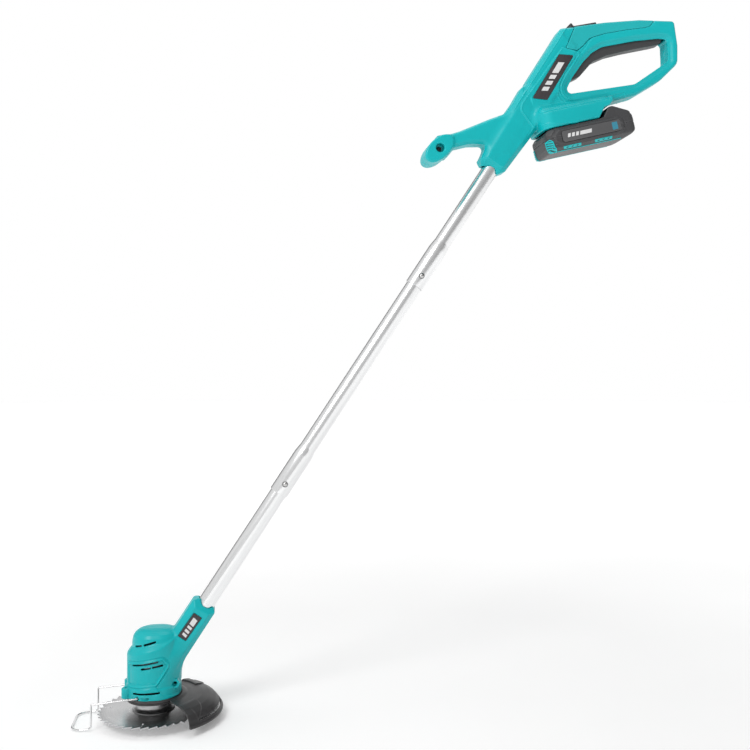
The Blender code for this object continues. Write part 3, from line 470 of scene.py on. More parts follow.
def head_half(side):
    g = Grid((-39.0, -35.2, 30.3), (78.6, 0.0, 155.0), 0.62)
    X, Y, Z = g.X, g.Y, g.Z
    D, c = head_outer(g)
    R, p, s, ay = c["R"], c["p"], c["s"], c["ay"]
    side_face = step(ay, 12.0, 15.0)
    # sunk five-sided panel with a lip
    pent = poly(X, Z, corners([(x, z, 3) for x, z in PENT]))
    D = D + F(1.7) * step(-pent, -0.35, 0.35) * side_face
    D = D - F(1.15) * np.exp(-((pent - F(1.7)) / 0.8) ** 2) * side_face
    D = D + F(0.9) * np.exp(-((pent - F(4.2)) / 0.6) ** 2) * side_face * (1 - step(X, 20, 26))
    # raised band round the base with its stepped lower edge
    band = poly(X, Z, [(-60, 46.5), (-26, 50.4), (-12, 51.5), (4.6, 51.9), (10.3, 42.2), (15.5, 38.6), (25.2, 36.6), (60, 35.6), (60, 20), (-60, 20)])
    D = D - F(1.2) * step(-band, -0.35, 0.35) * side_face * (1 - step(R, 35.6, 36.4))
    # screw boss with a six-sided recess beside the neck's foot
    hexa = np.maximum(np.abs(X - F(27.8)) * F(0.866) + np.abs(Z - F(49.5)) * F(0.5), np.abs(Z - F(49.5))) - F(3.1)
    D = np.where((X > 20) & (Z < 60), smin(D, smax(np.maximum(hexa - F(2.6), ay - F(20.5)), F(12) - ay, 0.5), 1.0), D)
    D = np.maximum(D, -np.maximum(hexa, F(16.5) - ay))
    D = np.maximum(D, -np.maximum(np.sqrt((X - F(27.8)) ** 2 + (Z - F(49.5)) ** 2) - F(1.9), F(0.6) - ay))
    # badge pocket
    D = np.maximum(D, -np.maximum(poly(p, s, corners([(-9.6, 109.3, 1), (-8.5, 145.0, 1), (4.5, 144.7, 1), (3.3, 109.0, 1)])), F(16.4) - ay))
    # hollow shell, posts and tube bore
    inside = D + F(2.4)
    inside = np.maximum(inside, -(s - F(60.0)) * F(0) + np.where(s > 96, F(1.1) - np.abs(np.mod(s, 16.0) - F(8.0)), F(-99)))
    inside = np.maximum(inside, F(5.6) - np.sqrt((X - F(27.8)) ** 2 + (Z - F(49.5)) ** 2))
    rtube = np.sqrt(p * p + Y * Y)
    D = np.maximum(D, -inside)
    D = np.maximum(D, -np.maximum(R - F(31.5), Z - F(40.0)))
    D = np.maximum(D, -np.maximum(R - F(27.2), Z - F(92.0)))
    D = np.maximum(D, -np.maximum(rtube - F(11.6), F(111.0) - s))
    D = smax(D, -smax(rtube - F(12.0), F(150.0) - s, 0.4), 0.6)
    # vents, rising a little towards the neck
    for x0, x1, zc, h, k in ((-24.4, 8.0, 79.1, 1.45, 0.18), (-13.4, -1.0, 73.3, 1.35, 0.17), (0.4, 13.9, 75.6, 1.45, 0.11),
                             (-21.2, -12.8, 99.5, 1.2, 0.28), (-10.4, 4.9, 103.4, 1.35, 0.27), (-23.4, 10.2, 42.8, 1.25, 0.04)):
        xc = (x0 + x1) / 2
        q = rect(X, Z - (X - F(xc)) * F(k) - F(zc), (xc, 0), ((x1 - x0) / 2, h), 1.0)
        D = np.maximum(D, -np.maximum(q, F(9) - ay))
    # pivot eyes of the wire
    eye = np.sqrt((X + F(17.5)) ** 2 + (Z - F(36.5)) ** 2)
    D = np.maximum(D, -np.maximum(eye - F(1.9), F(24) - ay))
    clip = smax(rect(X, Z, (-10.0, 37.6), (5.2, 2.1), 0.8), F(31.0) - ay, 0.5)
    D = smin(D, smax(clip, R - F(35.1), 0.4), 0.8)
    D = np.maximum(D, -np.maximum(rect(X, Z, (-17, 36.6), (13.4, 1.6), 0.4), F(32.2) - ay - (X + F(17)) * F(0.02)))
    # room for the wire's arms over their whole swing
    sector = np.maximum(F(35.1) - Z, F(0.927) * (X + F(17.5)) + F(0.3746) * (Z - F(36.5)) - F(1.4))
    D = np.maximum(D, -np.maximum(sector, np.abs(ay - F(30.6)) - F(1.4)))
    D = smax(smax(D, F(34.2) - Z, 0.5), ay - F(34.95), 0.4)
    # parting edge
    D = smax(D, Y + F(0.14), 0.6)
    return skin("head_shell_" + ("near" if side < 0 else "far"), D, g, keep=0.3, mirror=side > 0)


# ---------------------------------------------------------------------- guard
HOOD = [(35.5, 33.4), (48, 33.1), (62, 31.9), (72, 29.4), (80, 25.4), (85.0, 19.5), (86.2, 12.8), (88.0, 12.3), (88.0, 9.7), (84.7, 9.7),
        (83.3, 18.2), (78.7, 23.3), (71.3, 27.1), (61.7, 29.5), (46, 30.3), (41, 28.1), (35.5, 27.5)]


def guard_hood():
    g = Grid((24.0, -74.5, 9.4), (88.3, 74.5, 33.5), 0.62)
    X, Y, Z = g.X, g.Y, g.Z
    R = np.sqrt(X * X + Y * Y)
    az = np.degrees(np.arctan2(Y, X))
    top = [(30, 33.4)] + HOOD[:9] + [(30, 9.6)]
    outer = poly(R, Z, top)
    # each flank carries a raised lobe that begins at a curved step
    lobe_edge = F(27.0) + F(20.0) * np.clip((R - 56) / 30, -1, 1) ** 2
    lobe = step(np.abs(az) - lobe_edge, -0.7, 0.7) * step(R, 56.5, 58.5)
    outer = outer + F(1.5) * (1 - lobe) * step(R, 38, 44) * (1 - step(R, 84.4, 85.6))
    corner = step(np.abs(az), 46.4, 47.2) * step(R, 71.0, 72.2) * (1 - step(R, 85.2, 86.0))
    outer = outer + F(0.6) * corner
    D = smax(outer, -poly(R, Z, [(20, 5), (84.7, 5), (84.6, 12), (83.2, 18.1), (78.6, 23.3), (71.2, 27.1), (61.6, 29.4), (46, 30.2), (41, 28.0), (20, 28.0)]), 0.5)
    # rolled lip of the rim
    bead = np.sqrt((R - F(86.5)) ** 2 + (Z - F(11.1)) ** 2) - F(1.5)
    D = smin(D, bead, 0.8)
    ends = (np.abs(az) - F(55.9)) * F(math.pi / 180) * R
    D = smax(D, ends, 1.6)
    # inner edge, hub side
    D = smax(D, F(35.6) - R, 0.4)
    notch = np.maximum(np.abs(az - F(45.0)) - F(7.0), np.abs(R - F(70.0)) - F(1.2))
    D = D + F(0.35) * np.exp(-np.maximum(notch, 0) ** 2 / 0.4) * step(Z, 20, 22)
    ring = np.maximum(np.maximum(R - F(34.3), F(25.1) - R), np.abs(Z - F(28.8)) - F(1.3))
    web = boxd(X, Y, Z, (34.0, 0, 28.95), (5.5, 15.6, 1.0), 0.2)
    D = np.minimum(np.minimum(D, np.where(X > 24.5, ring, F(9))), np.maximum(web, F(25.2) - R))
    return skin("guard_hood", D, g, keep=0.35)


def guard_ring():
    """The rest of the guard's mounting disc, in front of the hood."""
    g = Grid((-34.5, -34.5, 27.3), (26.5, 34.5, 30.2), 0.6)
    X, Y, Z = g.X, g.Y, g.Z
    R = np.sqrt(X * X + Y * Y)
    D = smax(np.maximum(R - F(34.3), F(25.1) - R), np.abs(Z - F(28.8)) - F(1.35), 0.4)
    for k in range(3):
        t = math.radians(180 + 60 * (k - 1))
        D = np.maximum(D, F(1.5) - np.sqrt((X - F(29.6 * math.cos(t))) ** 2 + (Y - F(29.6 * math.sin(t))) ** 2))
    D = np.maximum(D, X - F(26.0))
    return skin("guard_disc", D, g, keep=0.35)


# -------------------------------------------------------------------- battery
CASE = [(2, 6, 4), (112, 6, 8), (123, 8.5, 6), (131, 15, 8), (131.5, 28, 6), (128, 35.6, 3), (5, 36.4, 3), (-1.0, 30, 4), (0, 13, 4)]
SIDE = [(17, 11.5), (102, 11.5), (112, 17), (112, 30), (104, 34.5), (17, 34.5), (8, 27), (8, 18)]
LIDTOP = [(9, 33.2), (118.5, 33.2), (128, 33.2, 1), (127.6, 38.2, 1), (117, 43), (102, 50.4, 2), (96.5, 50.4, 2), (86.5, 38), (80, 36.9), (9, 36.9)]
LABEL = [(22, 15), (104, 15), (106, 17), (106, 28), (104, 30), (22, 30), (20, 28), (20, 17)]


def battery_part(upper):
    g = Grid((-1.2, -35.2, 24.15 if upper else -0.2), (131.8, 35.2, 51.6 if upper else 24.05), 0.72)
    A, Y, N = g.X, g.Y, g.Z
    ay = np.abs(Y)
    D = extrude(poly(A, N, corners(CASE)), Y, 33.0, 4.5)
    plan = rect(A, Y, (65.0, 0.0), (66.5, 33.0), 13.0)
    D = smax(D, plan, 1.5)
    slope_cut = ((ay - F(27.0)) * F(0.3843) - (N - F(8.5)) * F(0.9232))
    D = smax(D, slope_cut, 1.5)
    # flat corner facet above the front end
    D = smax(D, (F(6.0) - A) * F(0.55) + (N - F(30.0)) * F(0.45) + (ay - F(31.5)) * F(0.70), 0.6)
    case = D
    panel = smax(poly(A, N, SIDE), ay - F(34.95), 1.0)
    panel = smax(panel, poly(A, N, SIDE) * F(0.62) + (ay - F(33.0)) * F(0.785), 0.5)
    panel = smax(panel, slope_cut, 1.0)
    D = smin(D, panel, 0.4)
    D = np.maximum(D, -np.maximum(poly(A, N, LABEL) - F(0.5), F(34.4) - ay))
    # ribbed lower front corner and shadow gap along the panel
    if not upper:
        D = D + F(0.6) * np.exp(-((ay - F(21.5)) / 0.6) ** 2) * (1 - step(N, 10, 12))
    edge = poly(A, N, SIDE)
    D = D + F(0.4) * np.exp(-((edge - F(1.2)) / 0.55) ** 2) * step(ay, 31.5, 32.2)
    if upper:
        top = smax(poly(A, N, corners(LIDTOP)), ay - F(32.2), 1.4)
        D = smin(D, smax(top, rect(A, Y, (68.0, 0.0), (60.0, 32.2), 9.0), 1.2), 0.8)
        D = np.minimum(D, smax(boxd(A, Y, N, (48, 0, 40.5), (38, 19.9, 4.6), 0.4), F(30) - N, 0.3))
        D = np.minimum(D, boxd(A, Y, N, (48.5, 0, 47.6), (37.5, 25.8, 3.2), 0.5))
        D = np.maximum(D, -boxd(A, Y, N, (19, 0, 46), (12.2, 19.2, 8.0)))
        for y in (-15, -9, -3, 3, 9, 15):
            D = np.maximum(D, -boxd(A, Y, N, (36, y, 50.8), (9.5, 0.9, 2.6), 0.3))
        D = np.maximum(D, -boxd(A, Y, N, (128.5, 0, 29.8), (7.4, 15.4, 3.3), 0.4))
    inner = smax(case + F(2.4), ay - F(31.2), 1.5)
    inner = np.maximum(inner, N - F(33.6))
    D = np.maximum(D, -inner)
    for k in range(5):
        cell = np.sqrt((A - F(18.6 + 19.4 * k)) ** 2 + (N - F(21.4)) ** 2)
        wall = np.maximum(np.abs(A - F(8.9 + 19.4 * k)) - F(0.8), np.maximum(-(cell - F(9.6)), ay - F(30.0)))
        D = np.minimum(D, np.maximum(np.maximum(np.maximum(wall, slope_cut + F(1.0)), poly(A, N, corners(CASE)) + F(0.5)), np.abs(N - F(21.4)) - F(12.0)))
    D = smax(D, (F(24.15) - N) if upper else (N - F(24.0)), 0.5)
    return skin("battery_" + ("lid" if upper else "tub"), D, g, PACK, keep=0.32)


def battery_latch():
    g = Grid((122.4, -15.0, 26.9), (133.2, 15.0, 32.6), 0.3)
    A, Y, N = g.X, g.Y, g.Z
    D = boxd(A, Y, N, (127.8, 0, 29.75), (5.3, 14.9, 2.8), 1.2)
    for k in range(9):
        D = np.maximum(D, -(np.sqrt((A - F(133.4)) ** 2 + (Y - F(-12 + 3 * k)) ** 2) - F(0.8)))
    return skin("battery_latch_tab", D, g, PACK, keep=0.4)


def battery_trim(side):
    """Coloured bars on the sloping lower edge, each with three dark vent holes, and a thin strip along them."""
    tilt = math.radians(22.6)
    g = Grid((-0.4, -7.5, -1.2), (124.0, 7.6, 0.75), 0.36)
    A, T, W = g.X, g.Y, g.Z
    D = F(9) + A * 0 + T * 0 + W * 0
    for a0, a1 in ((20, 46), (66, 92)):
        c = (a0 + a1) / 2
        bar = smax(poly(A, T, corners([(a0 + 2, -1.4, 1), (a1 + 2, -1.4, 1), (a1, 5.2, 1), (a0, 5.2, 1)])), np.abs(W) - F(0.6), 0.5)
        for k in (-1, 0, 1):
            bar = smax(bar, -np.maximum(np.sqrt((A - F(c + 1 + 7.4 * k)) ** 2 + (T - F(1.9)) ** 2) - F(1.5), F(-0.3) - W), 0.3)
        D = np.minimum(D, bar)
    D = np.minimum(D, smax(np.abs(T + F(4.9)) - F(0.8), smax(np.abs(A - F(58)) - F(50), np.abs(W) - F(0.45), 0.3), 0.3))
    c, n = math.cos(tilt), math.sin(tilt)
    local = Matrix(((1, 0, 0, 0), (0, -c, -n, -27 * MM), (0, n, -c, 8.5 * MM), (0, 0, 0, 1)))
    ob = skin("battery_trim_" + ("near" if side < 0 else "far"), D, g, PACK @ local, keep=0.45)
    if side > 0:
        ob.data.transform(Matrix.Diagonal((1, -1, 1, 1)))
        ob.data.flip_normals()
    return finish_mesh(ob, 50)


def battery_corner(side):
    """Ribbed corner piece at the front foot of the case."""
    g = Grid((-0.95, 20.0, 4.0), (16.5, 33.95, 25.0), 0.4)
    A, Y, N = g.X, g.Y, g.Z
    D = extrude(poly(A, N, corners(CASE)), Y, 33.0, 4.5)
    D = smax(smax(D, rect(A, Y, (65.0, 0.0), (66.5, 33.0), 13.0), 1.5), ((Y - F(27.0)) * F(0.3843) - (N - F(8.5)) * F(0.9232)), 1.5)
    body = D - F(0.85)
    zone = smax(poly(A, N, [(-9, -4), (15.5, -4), (12.5, 7.5), (8.0, 11.5), (7.0, 20.0), (3.2, 23.4), (-9, 19.0)]), F(21.5) - Y, 0.6)
    rib = np.sin((N + A * F(0.3)) * F(2 * math.pi / 3.0))
    body = body + F(0.95) * step(rib, -0.1, 0.4) * step(-zone, 0.9, 1.4)
    D = smax(smax(body, zone, 0.5), -(D + F(0.9)), 0.3)
    return skin("battery_corner_" + ("near" if side < 0 else "far"), D, g, PACK, keep=0.45, mirror=side < 0)


# -------------------------------------------------------------------- trigger
LEVER = [(562.6, 850.6, 3), (575.5, 857.0, 4), (594, 878.2, 14), (616, 888.6, 18), (640, 895.6), (684, 906.3, 8), (695, 909.6, 4),
         (697.6, 918, 3.5), (694.5, 925.2, 4), (687, 924.6, 4), (681, 915.6, 4), (655, 910.6), (606, 900.4), (590, 892.6, 10), (577, 879.6, 10),
         (560, 856.8, 3)]


def trigger_lever():
    g = Grid((560.0, -9.0, 850.4), (698.0, 9.0, 925.6), 0.5)
    X, Y, Z = g.X, g.Y, g.Z
    d = poly(X, Z, corners(LEVER))
    D = extrude(d, Y, 8.95, 2.0)
    # finger face: shallow cross grooves, and a lightened back
    along = X * F(0.87) + Z * F(0.5)
    low = poly(X, Z, corners([(x + 2, z - 4.5) for x, z, *_ in LEVER[:7]] + [(700, 900), (700, 840), (560, 840)]))
    D = D + F(0.35) * step(np.sin(along * F(2 * math.pi / 4.2)), 0.55, 0.95) * (1 - step(d, -99, -98)) * step(-np.abs(Y), -6.6, -5.8) * (1 - step(low, 3.2, 4.4))
    D = np.maximum(D, -np.maximum(d + F(2.2), np.abs(Y) - F(6.6)) + np.where(low < 6.5, F(-99), F(0)))
    D = np.maximum(D, F(1.75) - np.sqrt((X - F(691)) ** 2 + (Z - F(921)) ** 2))
    return skin("trigger_lever", D, g, keep=0.4)


def lock_tab():
    turn = Matrix.Translation((0.5780, 0, 0.9250)) @ Matrix.Rotation(math.radians(-11.0), 4, "Y")
    g = Grid((-15.4, -7.0, -8.0), (23.6, 7.0, 8.4), 0.36)
    U, Y, W = g.X, g.Y, g.Z
    side = [(-14.6, 0.1), (-15.2, 7.6, 1), (-13.6, 8.3, 1), (-12.2, 7.8, 1), (-10.4, 4.0, 2), (22.4, 5.0, 1), (23.4, 4.2, 1), (23.4, 0.1)]
    D = extrude(poly(U, W, corners(side)), Y, 6.95, 0.8)
    ribs = step(np.sin(U * F(2 * math.pi / 3.4)), 0.2, 0.8) * step(U, -8.5, -7.0) * (1 - step(U, 17.0, 18.0)) * (1 - step(np.abs(Y), 5.2, 5.7)) * step(W, 1.4, 2.0)
    D = D + F(0.5) * ribs
    D = np.minimum(D, boxd(U, Y, W, (1.0, 0, -3.5), (9.9, 2.95, 4.4), 0.4))
    return skin("lock_off_tab", D, g, turn, keep=0.4)


# ------------------------------------------------------------- turned, drawn
def finish_mesh(ob, angle=32.0):
    bm = bmesh.new()
    bm.from_mesh(ob.data)
    bmesh.ops.remove_doubles(bm, verts=bm.verts, dist=2e-6)
    bmesh.ops.recalc_face_normals(bm, faces=bm.faces)
    for f in bm.faces:
        f.smooth = True
    for e in bm.edges:
        e.smooth = len(e.link_faces) == 2 and e.calc_face_angle(0.0) < math.radians(angle)
    bm.to_mesh(ob.data)
    bm.free()
    return ob


def add(name, mesh):
    ob = bpy.data.objects.new(name, mesh)
    bpy.context.scene.collection.objects.link(ob)
    return ob


def lathe(name, profile, where=Matrix(), n=96, angle=32.0):
    """Closed profile (r, z) turned about Z."""
    if not FINE:
        n = max(24, n // 2)
    bm = bmesh.new()
    rows = []
    for r, z in profile:
        if r < 1e-6:
            rows.append([bm.verts.new((0, 0, z * MM))] * n)
        else:
            rows.append([bm.verts.new((r * MM * math.cos(2 * math.pi * k / n), r * MM * math.sin(2 * math.pi * k / n), z * MM)) for k in range(n)])
    for a, b in zip(rows, rows[1:] + rows[:1]):
        for k in range(n):
            vs = []
            for v in (a[k], a[(k + 1) % n], b[(k + 1) % n], b[k]):
                if v not in vs:
                    vs.append(v)
            if len(vs) > 2:
                bm.faces.new(vs)
    mesh = bpy.data.meshes.new(name)
    bm.to_mesh(mesh)
    bm.free()
    mesh.transform(where)
    return finish_mesh(add(name, mesh), angle)


def slab(name, pts, y0, y1, where=Matrix(), bevel=0.12):
    """Outline (x, z) made thick from y0 to y1, edges broken."""
    bm = bmesh.new()
    a = [bm.verts.new((x * MM, y0 * MM, z * MM)) for x, z in pts]
    b = [bm.verts.new((x * MM, y1 * MM, z * MM)) for x, z in pts]
    bm.faces.new(a)
    bm.faces.new(b[::-1])
    for k in range(len(pts)):
        m = (k + 1) % len(pts)
        bm.faces.new((a[m], a[k], b[k], b[m]))
    bmesh.ops.recalc_face_normals(bm, faces=bm.faces)
    if bevel:
        sharp = [e for e in bm.edges if e.calc_face_angle(0.0) > math.radians(40)]
        bmesh.ops.bevel(bm, geom=sharp, offset=bevel * MM, segments=2, profile=0.5, affect="EDGES", clamp_overlap=True)
    mesh = bpy.data.meshes.new(name)
    bm.to_mesh(mesh)
    bm.free()
    mesh.transform(where)
    return finish_mesh(add(name, mesh))


def carve(ob, *tools):
    for t in tools:
        m = ob.modifiers.new("c", "BOOLEAN")
        m.operation, m.solver, m.object = "DIFFERENCE", "EXACT", t
    mesh = bpy.data.meshes.new_from_object(ob.evaluated_get(bpy.context.evaluated_depsgraph_get()))
    ob.modifiers.clear()
    ob.data = mesh
    for t in tools:
        bpy.data.objects.remove(t, do_unlink=True)
    return finish_mesh(ob)


def fillet(points, r, seg=7):
    """Polyline in space with its corners rounded to radius r."""
    out = [Vector(points[0])]
    for a, b, c in zip(points, points[1:], points[2:]):
        a, b, c = Vector(a), Vector(b), Vector(c)
        u, v = (a - b), (c - b)
        turn = u.angle(v)
        if turn > math.radians(174):
            out.append(b)
            continue
        d = min(r / math.tan(turn / 2), 0.48 * u.length, 0.48 * v.length)
        p, q = b + u.normalized() * d, b + v.normalized() * d
        for k in range(seg + 1):
            t = k / seg
            out.append(p * (1 - t) ** 2 + b * 2 * t * (1 - t) + q * t * t)
    out.append(Vector(points[-1]))
    return out


def drawn(name, points, r, where=Matrix(), res=5):
    cu = bpy.data.curves.new(name + "_path", "CURVE")
    cu.dimensions = "3D"
    cu.bevel_depth = r * MM
    cu.bevel_resolution = res if FINE else 2
    cu.use_fill_caps = True
    sp = cu.splines.new("POLY")
    sp.points.add(len(points) - 1)
    for p, q in zip(sp.points, points):
        p.co = (q[0] * MM, q[1] * MM, q[2] * MM, 1.0)
    guide = add(name + "_path", cu)
    mesh = bpy.data.meshes.new_from_object(guide.evaluated_get(bpy.context.evaluated_depsgraph_get()))
    bpy.data.objects.remove(guide, do_unlink=True)
    mesh.transform(where)
    mesh.name = name
    return finish_mesh(add(name, mesh), 50)


def rolled(r, z, q, up):
    """Rounded lip points of a tube's cut end at height z."""
    s = 1 if up else -1
    return [(r, z - s * q * 0.9), (r - q * 0.12, z - s * q * 0.35), (r - q * 0.5, z)]


def tube(name, s0, s1, socket=None):
    wall = 1.2
    if socket:
        out = [(SOCKET_R - 0.5, s0), (SOCKET_R - 0.12, s0 + 0.3), (SOCKET_R, s0 + 0.9), (SOCKET_R, socket[1]), (SOCKET_R - 0.15, socket[1] + 1.5),
               (TUBE_R + 0.75, (socket[1] + socket[2]) / 2 + 1.0), (TUBE_R + 0.12, socket[2] - 1.2), (TUBE_R, socket[2] + 0.6)]
        inn = [(TUBE_R - wall, socket[2]), (SOCKET_R - wall, socket[1]), (SOCKET_R - wall, s0 + 0.5), (SOCKET_R - wall + 0.4, s0)]
    else:
        out = [(TUBE_R - 0.5, s0), (TUBE_R - 0.12, s0 + 0.3), (TUBE_R, s0 + 0.9)]
        inn = [(TUBE_R - wall, s0 + 0.5), (TUBE_R - wall + 0.4, s0)]
    prof = out + [(TUBE_R, s1 - 0.9), (TUBE_R - 0.12, s1 - 0.3), (TUBE_R - 0.5, s1), (TUBE_R - wall, s1)] + inn
    return lathe(name, prof, SHAFT, 128)


def button_cut(s, r=3.85):
    cyl = lathe("hole_tool", [(0, 5.0), (r, 5.0), (r, 20.0), (0, 20.0)], SHAFT @ Matrix.Translation((0, 0, s * MM)) @ Matrix.Rotation(math.pi / 2, 4, "X"), 48)
    return cyl


def cross_screw(name, length, head, stem, where):
    """Pan head with a cross recess and a threaded shank, head at +Z."""
    g = Grid((-head, -head, 0.0), (head, head, length), 0.26)
    X, Y, Z = g.X, g.Y, g.Z
    R = np.sqrt(X * X + Y * Y)
    top = length - 2.3
    pan = smax(smax(R - F(head), F(top) - Z, 0.3), np.sqrt(R * R + (Z - F(length - head * 1.9)) ** 2) - F(head * 1.9), 0.6)
    cross = np.maximum(np.minimum(np.maximum(np.abs(X) - F(0.45), np.abs(Y) - F(1.9)), np.maximum(np.abs(Y) - F(0.45), np.abs(X) - F(1.9))),
                       F(length - 1.7) - Z + R * F(0.5))
    turns = np.mod(Z / F(1.3) - np.arctan2(Y, X) / F(2 * math.pi), 1.0)
    shank = np.maximum(R - F(stem) + F(0.45) * np.abs(turns * 2 - 1) ** 1.5, Z - F(top + 0.2))
    shank = smax(shank, F(0.1) + R * F(0.8) - F(stem * 0.4) - Z, 0.3)
    D = np.minimum(np.maximum(pan, -cross), shank)
    return skin(name, D, g, where, keep=0.5)


def saw():
    pts = []
    n = 40
    for k in range(n):
        a0 = k * 360.0 / n
        tooth = [(0.0, 70.0), (0.10, 69.4), (0.62, 65.2), (0.85, 64.75), (1.25, 64.5), (1.75, 64.55), (2.3, 64.9), (2.9, 65.35), (4.2, 66.35), (5.6, 67.4), (7.0, 68.5),
                 (8.4, 69.6), (8.75, 69.93)]
        for da, r in tooth:
            a = math.radians(a0 + da)
            pts.append((r * math.cos(a), -r * math.sin(a)))
    blade = slab("blade_steel_disc", pts, -0.7, 0.7, Matrix.Translation((0, 0, 13 * MM)) @ Matrix.Rotation(-math.pi / 2, 4, "X"), bevel=0.0)
    tools = []
    for k in range(4):
        spoke = Matrix.Rotation(math.radians(171 + 90 * k), 4, "Z")
        bm = bmesh.new()
        bmesh.ops.create_cube(bm, size=1.0, matrix=spoke @ Matrix.Translation((0.068, 0, 0.013)) @ Matrix.Diagonal((0.026, 0.0008, 0.02, 1)))
        mesh = bpy.data.meshes.new("slit")
        bm.to_mesh(mesh)
        bm.free()
        tools.append(add("slit_tool", mesh))
        tools.append(lathe("slit_end", [(0, 5), (1.3, 5), (1.3, 20), (0, 20)], spoke @ Matrix.Translation((0.055, 0, 0)), 32))
        # turn for a tuning-rivet hole between the slits; the hole is not cut
        turn = Matrix.Rotation(math.radians(171 + 45 + 90 * k), 4, "Z")
    tools.append(lathe("bore", [(0, 5), (4.25, 5), (4.25, 20), (0, 20)], Matrix(), 64))
    blade = carve(blade, *tools)
    bm = bmesh.new()
    bm.from_mesh(blade.data)
    bmesh.ops.remove_doubles(bm, verts=bm.verts, dist=1e-6)
    edges = [e for e in bm.edges if len(e.link_faces) == 2 and e.calc_face_angle(0.0) > math.radians(60)
             and (abs(e.link_faces[0].normal.z) > 0.9 or abs(e.link_faces[1].normal.z) > 0.9)]
    bmesh.ops.bevel(bm, geom=edges, offset=0.12 * MM, segments=1, affect="EDGES", clamp_overlap=True)
    bm.to_mesh(blade.data)
    bm.free()
    return finish_mesh(blade, 25)


# ------------------------------------------------------------------ materials
class Mat:
    def __init__(self, name):
        self.m = bpy.data.materials.new(name)
        self.m.use_nodes = True
        self.t = self.m.node_tree
        self.t.nodes.clear()
        self.out = self.t.nodes.new("ShaderNodeOutputMaterial")
        self.b = self.t.nodes.new("ShaderNodeBsdfPrincipled")
        self.t.links.new(self.b.outputs[0], self.out.inputs[0])
        self.co = self.t.nodes.new("ShaderNodeTexCoord").outputs["Object"]

    def node(self, kind, **kw):
        n = self.t.nodes.new("ShaderNode" + kind)
        for k, v in kw.items():
            setattr(n, k, v)
        return n

    def link(self, a, b):
        self.t.links.new(a, b)

    def mapped(self, scale=(1, 1, 1), turn=(0, 0, 0), kind="POINT"):
        n = self.node("Mapping", vector_type=kind)
        n.inputs["Scale"].default_value = scale
        n.inputs["Rotation"].default_value = turn
        self.link(self.co, n.inputs["Vector"])
        return n.outputs[0]

    def noise(self, scale, detail=3.0, rough=0.55, vec=None, distort=0.0):
        n = self.node("TexNoise")
        n.inputs["Scale"].default_value = scale
        n.inputs["Detail"].default_value = detail
        n.inputs["Roughness"].default_value = rough
        n.inputs["Distortion"].default_value = distort
        self.link(vec or self.co, n.inputs["Vector"])
        return n.outputs["Fac"]

    def ramp(self, fac, stops):
        n = self.node("ValToRGB")
        e = n.color_ramp.elements
        while len(e) < len(stops):
            e.new(0.5)
        for s, (pos, col) in zip(e, stops):
            s.position = pos
            s.color = (*col, 1) if isinstance(col, tuple) else (col, col, col, 1)
        self.link(fac, n.inputs[0])
        return n.outputs[0]

    def math(self, op, a, b):
        n = self.node("Math", operation=op)
        for i, v in enumerate((a, b)):
            if isinstance(v, (int, float)):
                n.inputs[i].default_value = v
            else:
                self.link(v, n.inputs[i])
        return n.outputs[0]

    def mix(self, fac, a, b):
        n = self.node("Mix", data_type="RGBA")
        for sock, v in ((n.inputs[0], fac), (n.inputs[6], a), (n.inputs[7], b)):
            if isinstance(v, tuple):
                sock.default_value = (*v, 1)
            elif isinstance(v, (int, float)):
                sock.default_value = v
            else:
                self.link(v, sock)
        return n.outputs[2]

    def bump(self, height, strength, dist):
        n = self.node("Bump")
        n.inputs["Strength"].default_value = strength
        n.inputs["Distance"].default_value = dist
        self.link(height, n.inputs["Height"])
        prev = getattr(self, "normal", None)
        if prev:
            self.link(prev, n.inputs["Normal"])
        self.normal = n.outputs[0]
        self.link(self.normal, self.b.inputs["Normal"])

    def edges(self, lo, hi):
        g = self.node("NewGeometry")
        return self.ramp(g.outputs["Pointiness"], [(lo, 0.0), (hi, 1.0)])


def plastic(name, rgb, rough=0.36, light=1.25, grain=0.10, coat=0.0, edge_light_shade=True, spread=0.10, scale=1900):
    """Moulded plastic: fine spark-eroded grain, uneven sheen, a painted highlight along convex edges, painted shade in
    creases and a few scuffs.
    """
    m = Mat(name)
    cloud = m.noise(9.0, 4.0)
    tone = m.ramp(cloud, [(0.3, tuple(c * 0.93 for c in rgb)), (0.7, tuple(min(1, c * 1.05) for c in rgb))])
    if edge_light_shade:
        # painted highlight: convex edges (high pointiness) are mixed toward a paler colour, broken up by noise
        e = m.edges(0.515, 0.565)
        edge_highlight = m.math("MULTIPLY", e, m.ramp(m.noise(70.0, 3.0), [(0.35, 0.35), (0.65, 0.75)]))
        tone = m.mix(edge_highlight, tone, tuple(min(1, c * light + 0.03) for c in rgb))
        # painted shade: hollows and creases (low pointiness) are mixed toward 0.45 of the base colour
        tone = m.mix(m.math("MULTIPLY", m.math("SUBTRACT", 1.0, m.ramp(m.node("NewGeometry").outputs["Pointiness"], [(0.40, 0.0), (0.475, 1.0)])), 0.45), tone,
                     tuple(c * 0.45 for c in rgb))
    m.link(tone, m.b.inputs["Base Color"])
    m.link(m.ramp(m.noise(26.0, 5.0, 0.6), [(0.25, rough - spread * 0.5), (0.75, rough + spread)]), m.b.inputs["Roughness"])
    m.bump(m.noise(scale, 2.0, 0.5), grain, 0.00006)
    scratch = m.noise(60.0, 2.0, 0.5, m.mapped((1.0, 1.0, 9.0), (0.4, 0.9, 0.2)))
    m.bump(m.ramp(scratch, [(0.60, 0.0), (0.615, 1.0), (0.63, 0.0)]), 0.035, 0.00008)
    m.b.inputs["IOR"].default_value = 1.46
    m.b.inputs["Specular IOR Level"].default_value = 0.38
    m.b.inputs["Coat Weight"].default_value = coat
    m.b.inputs["Coat Roughness"].default_value = 0.2
    return m.m


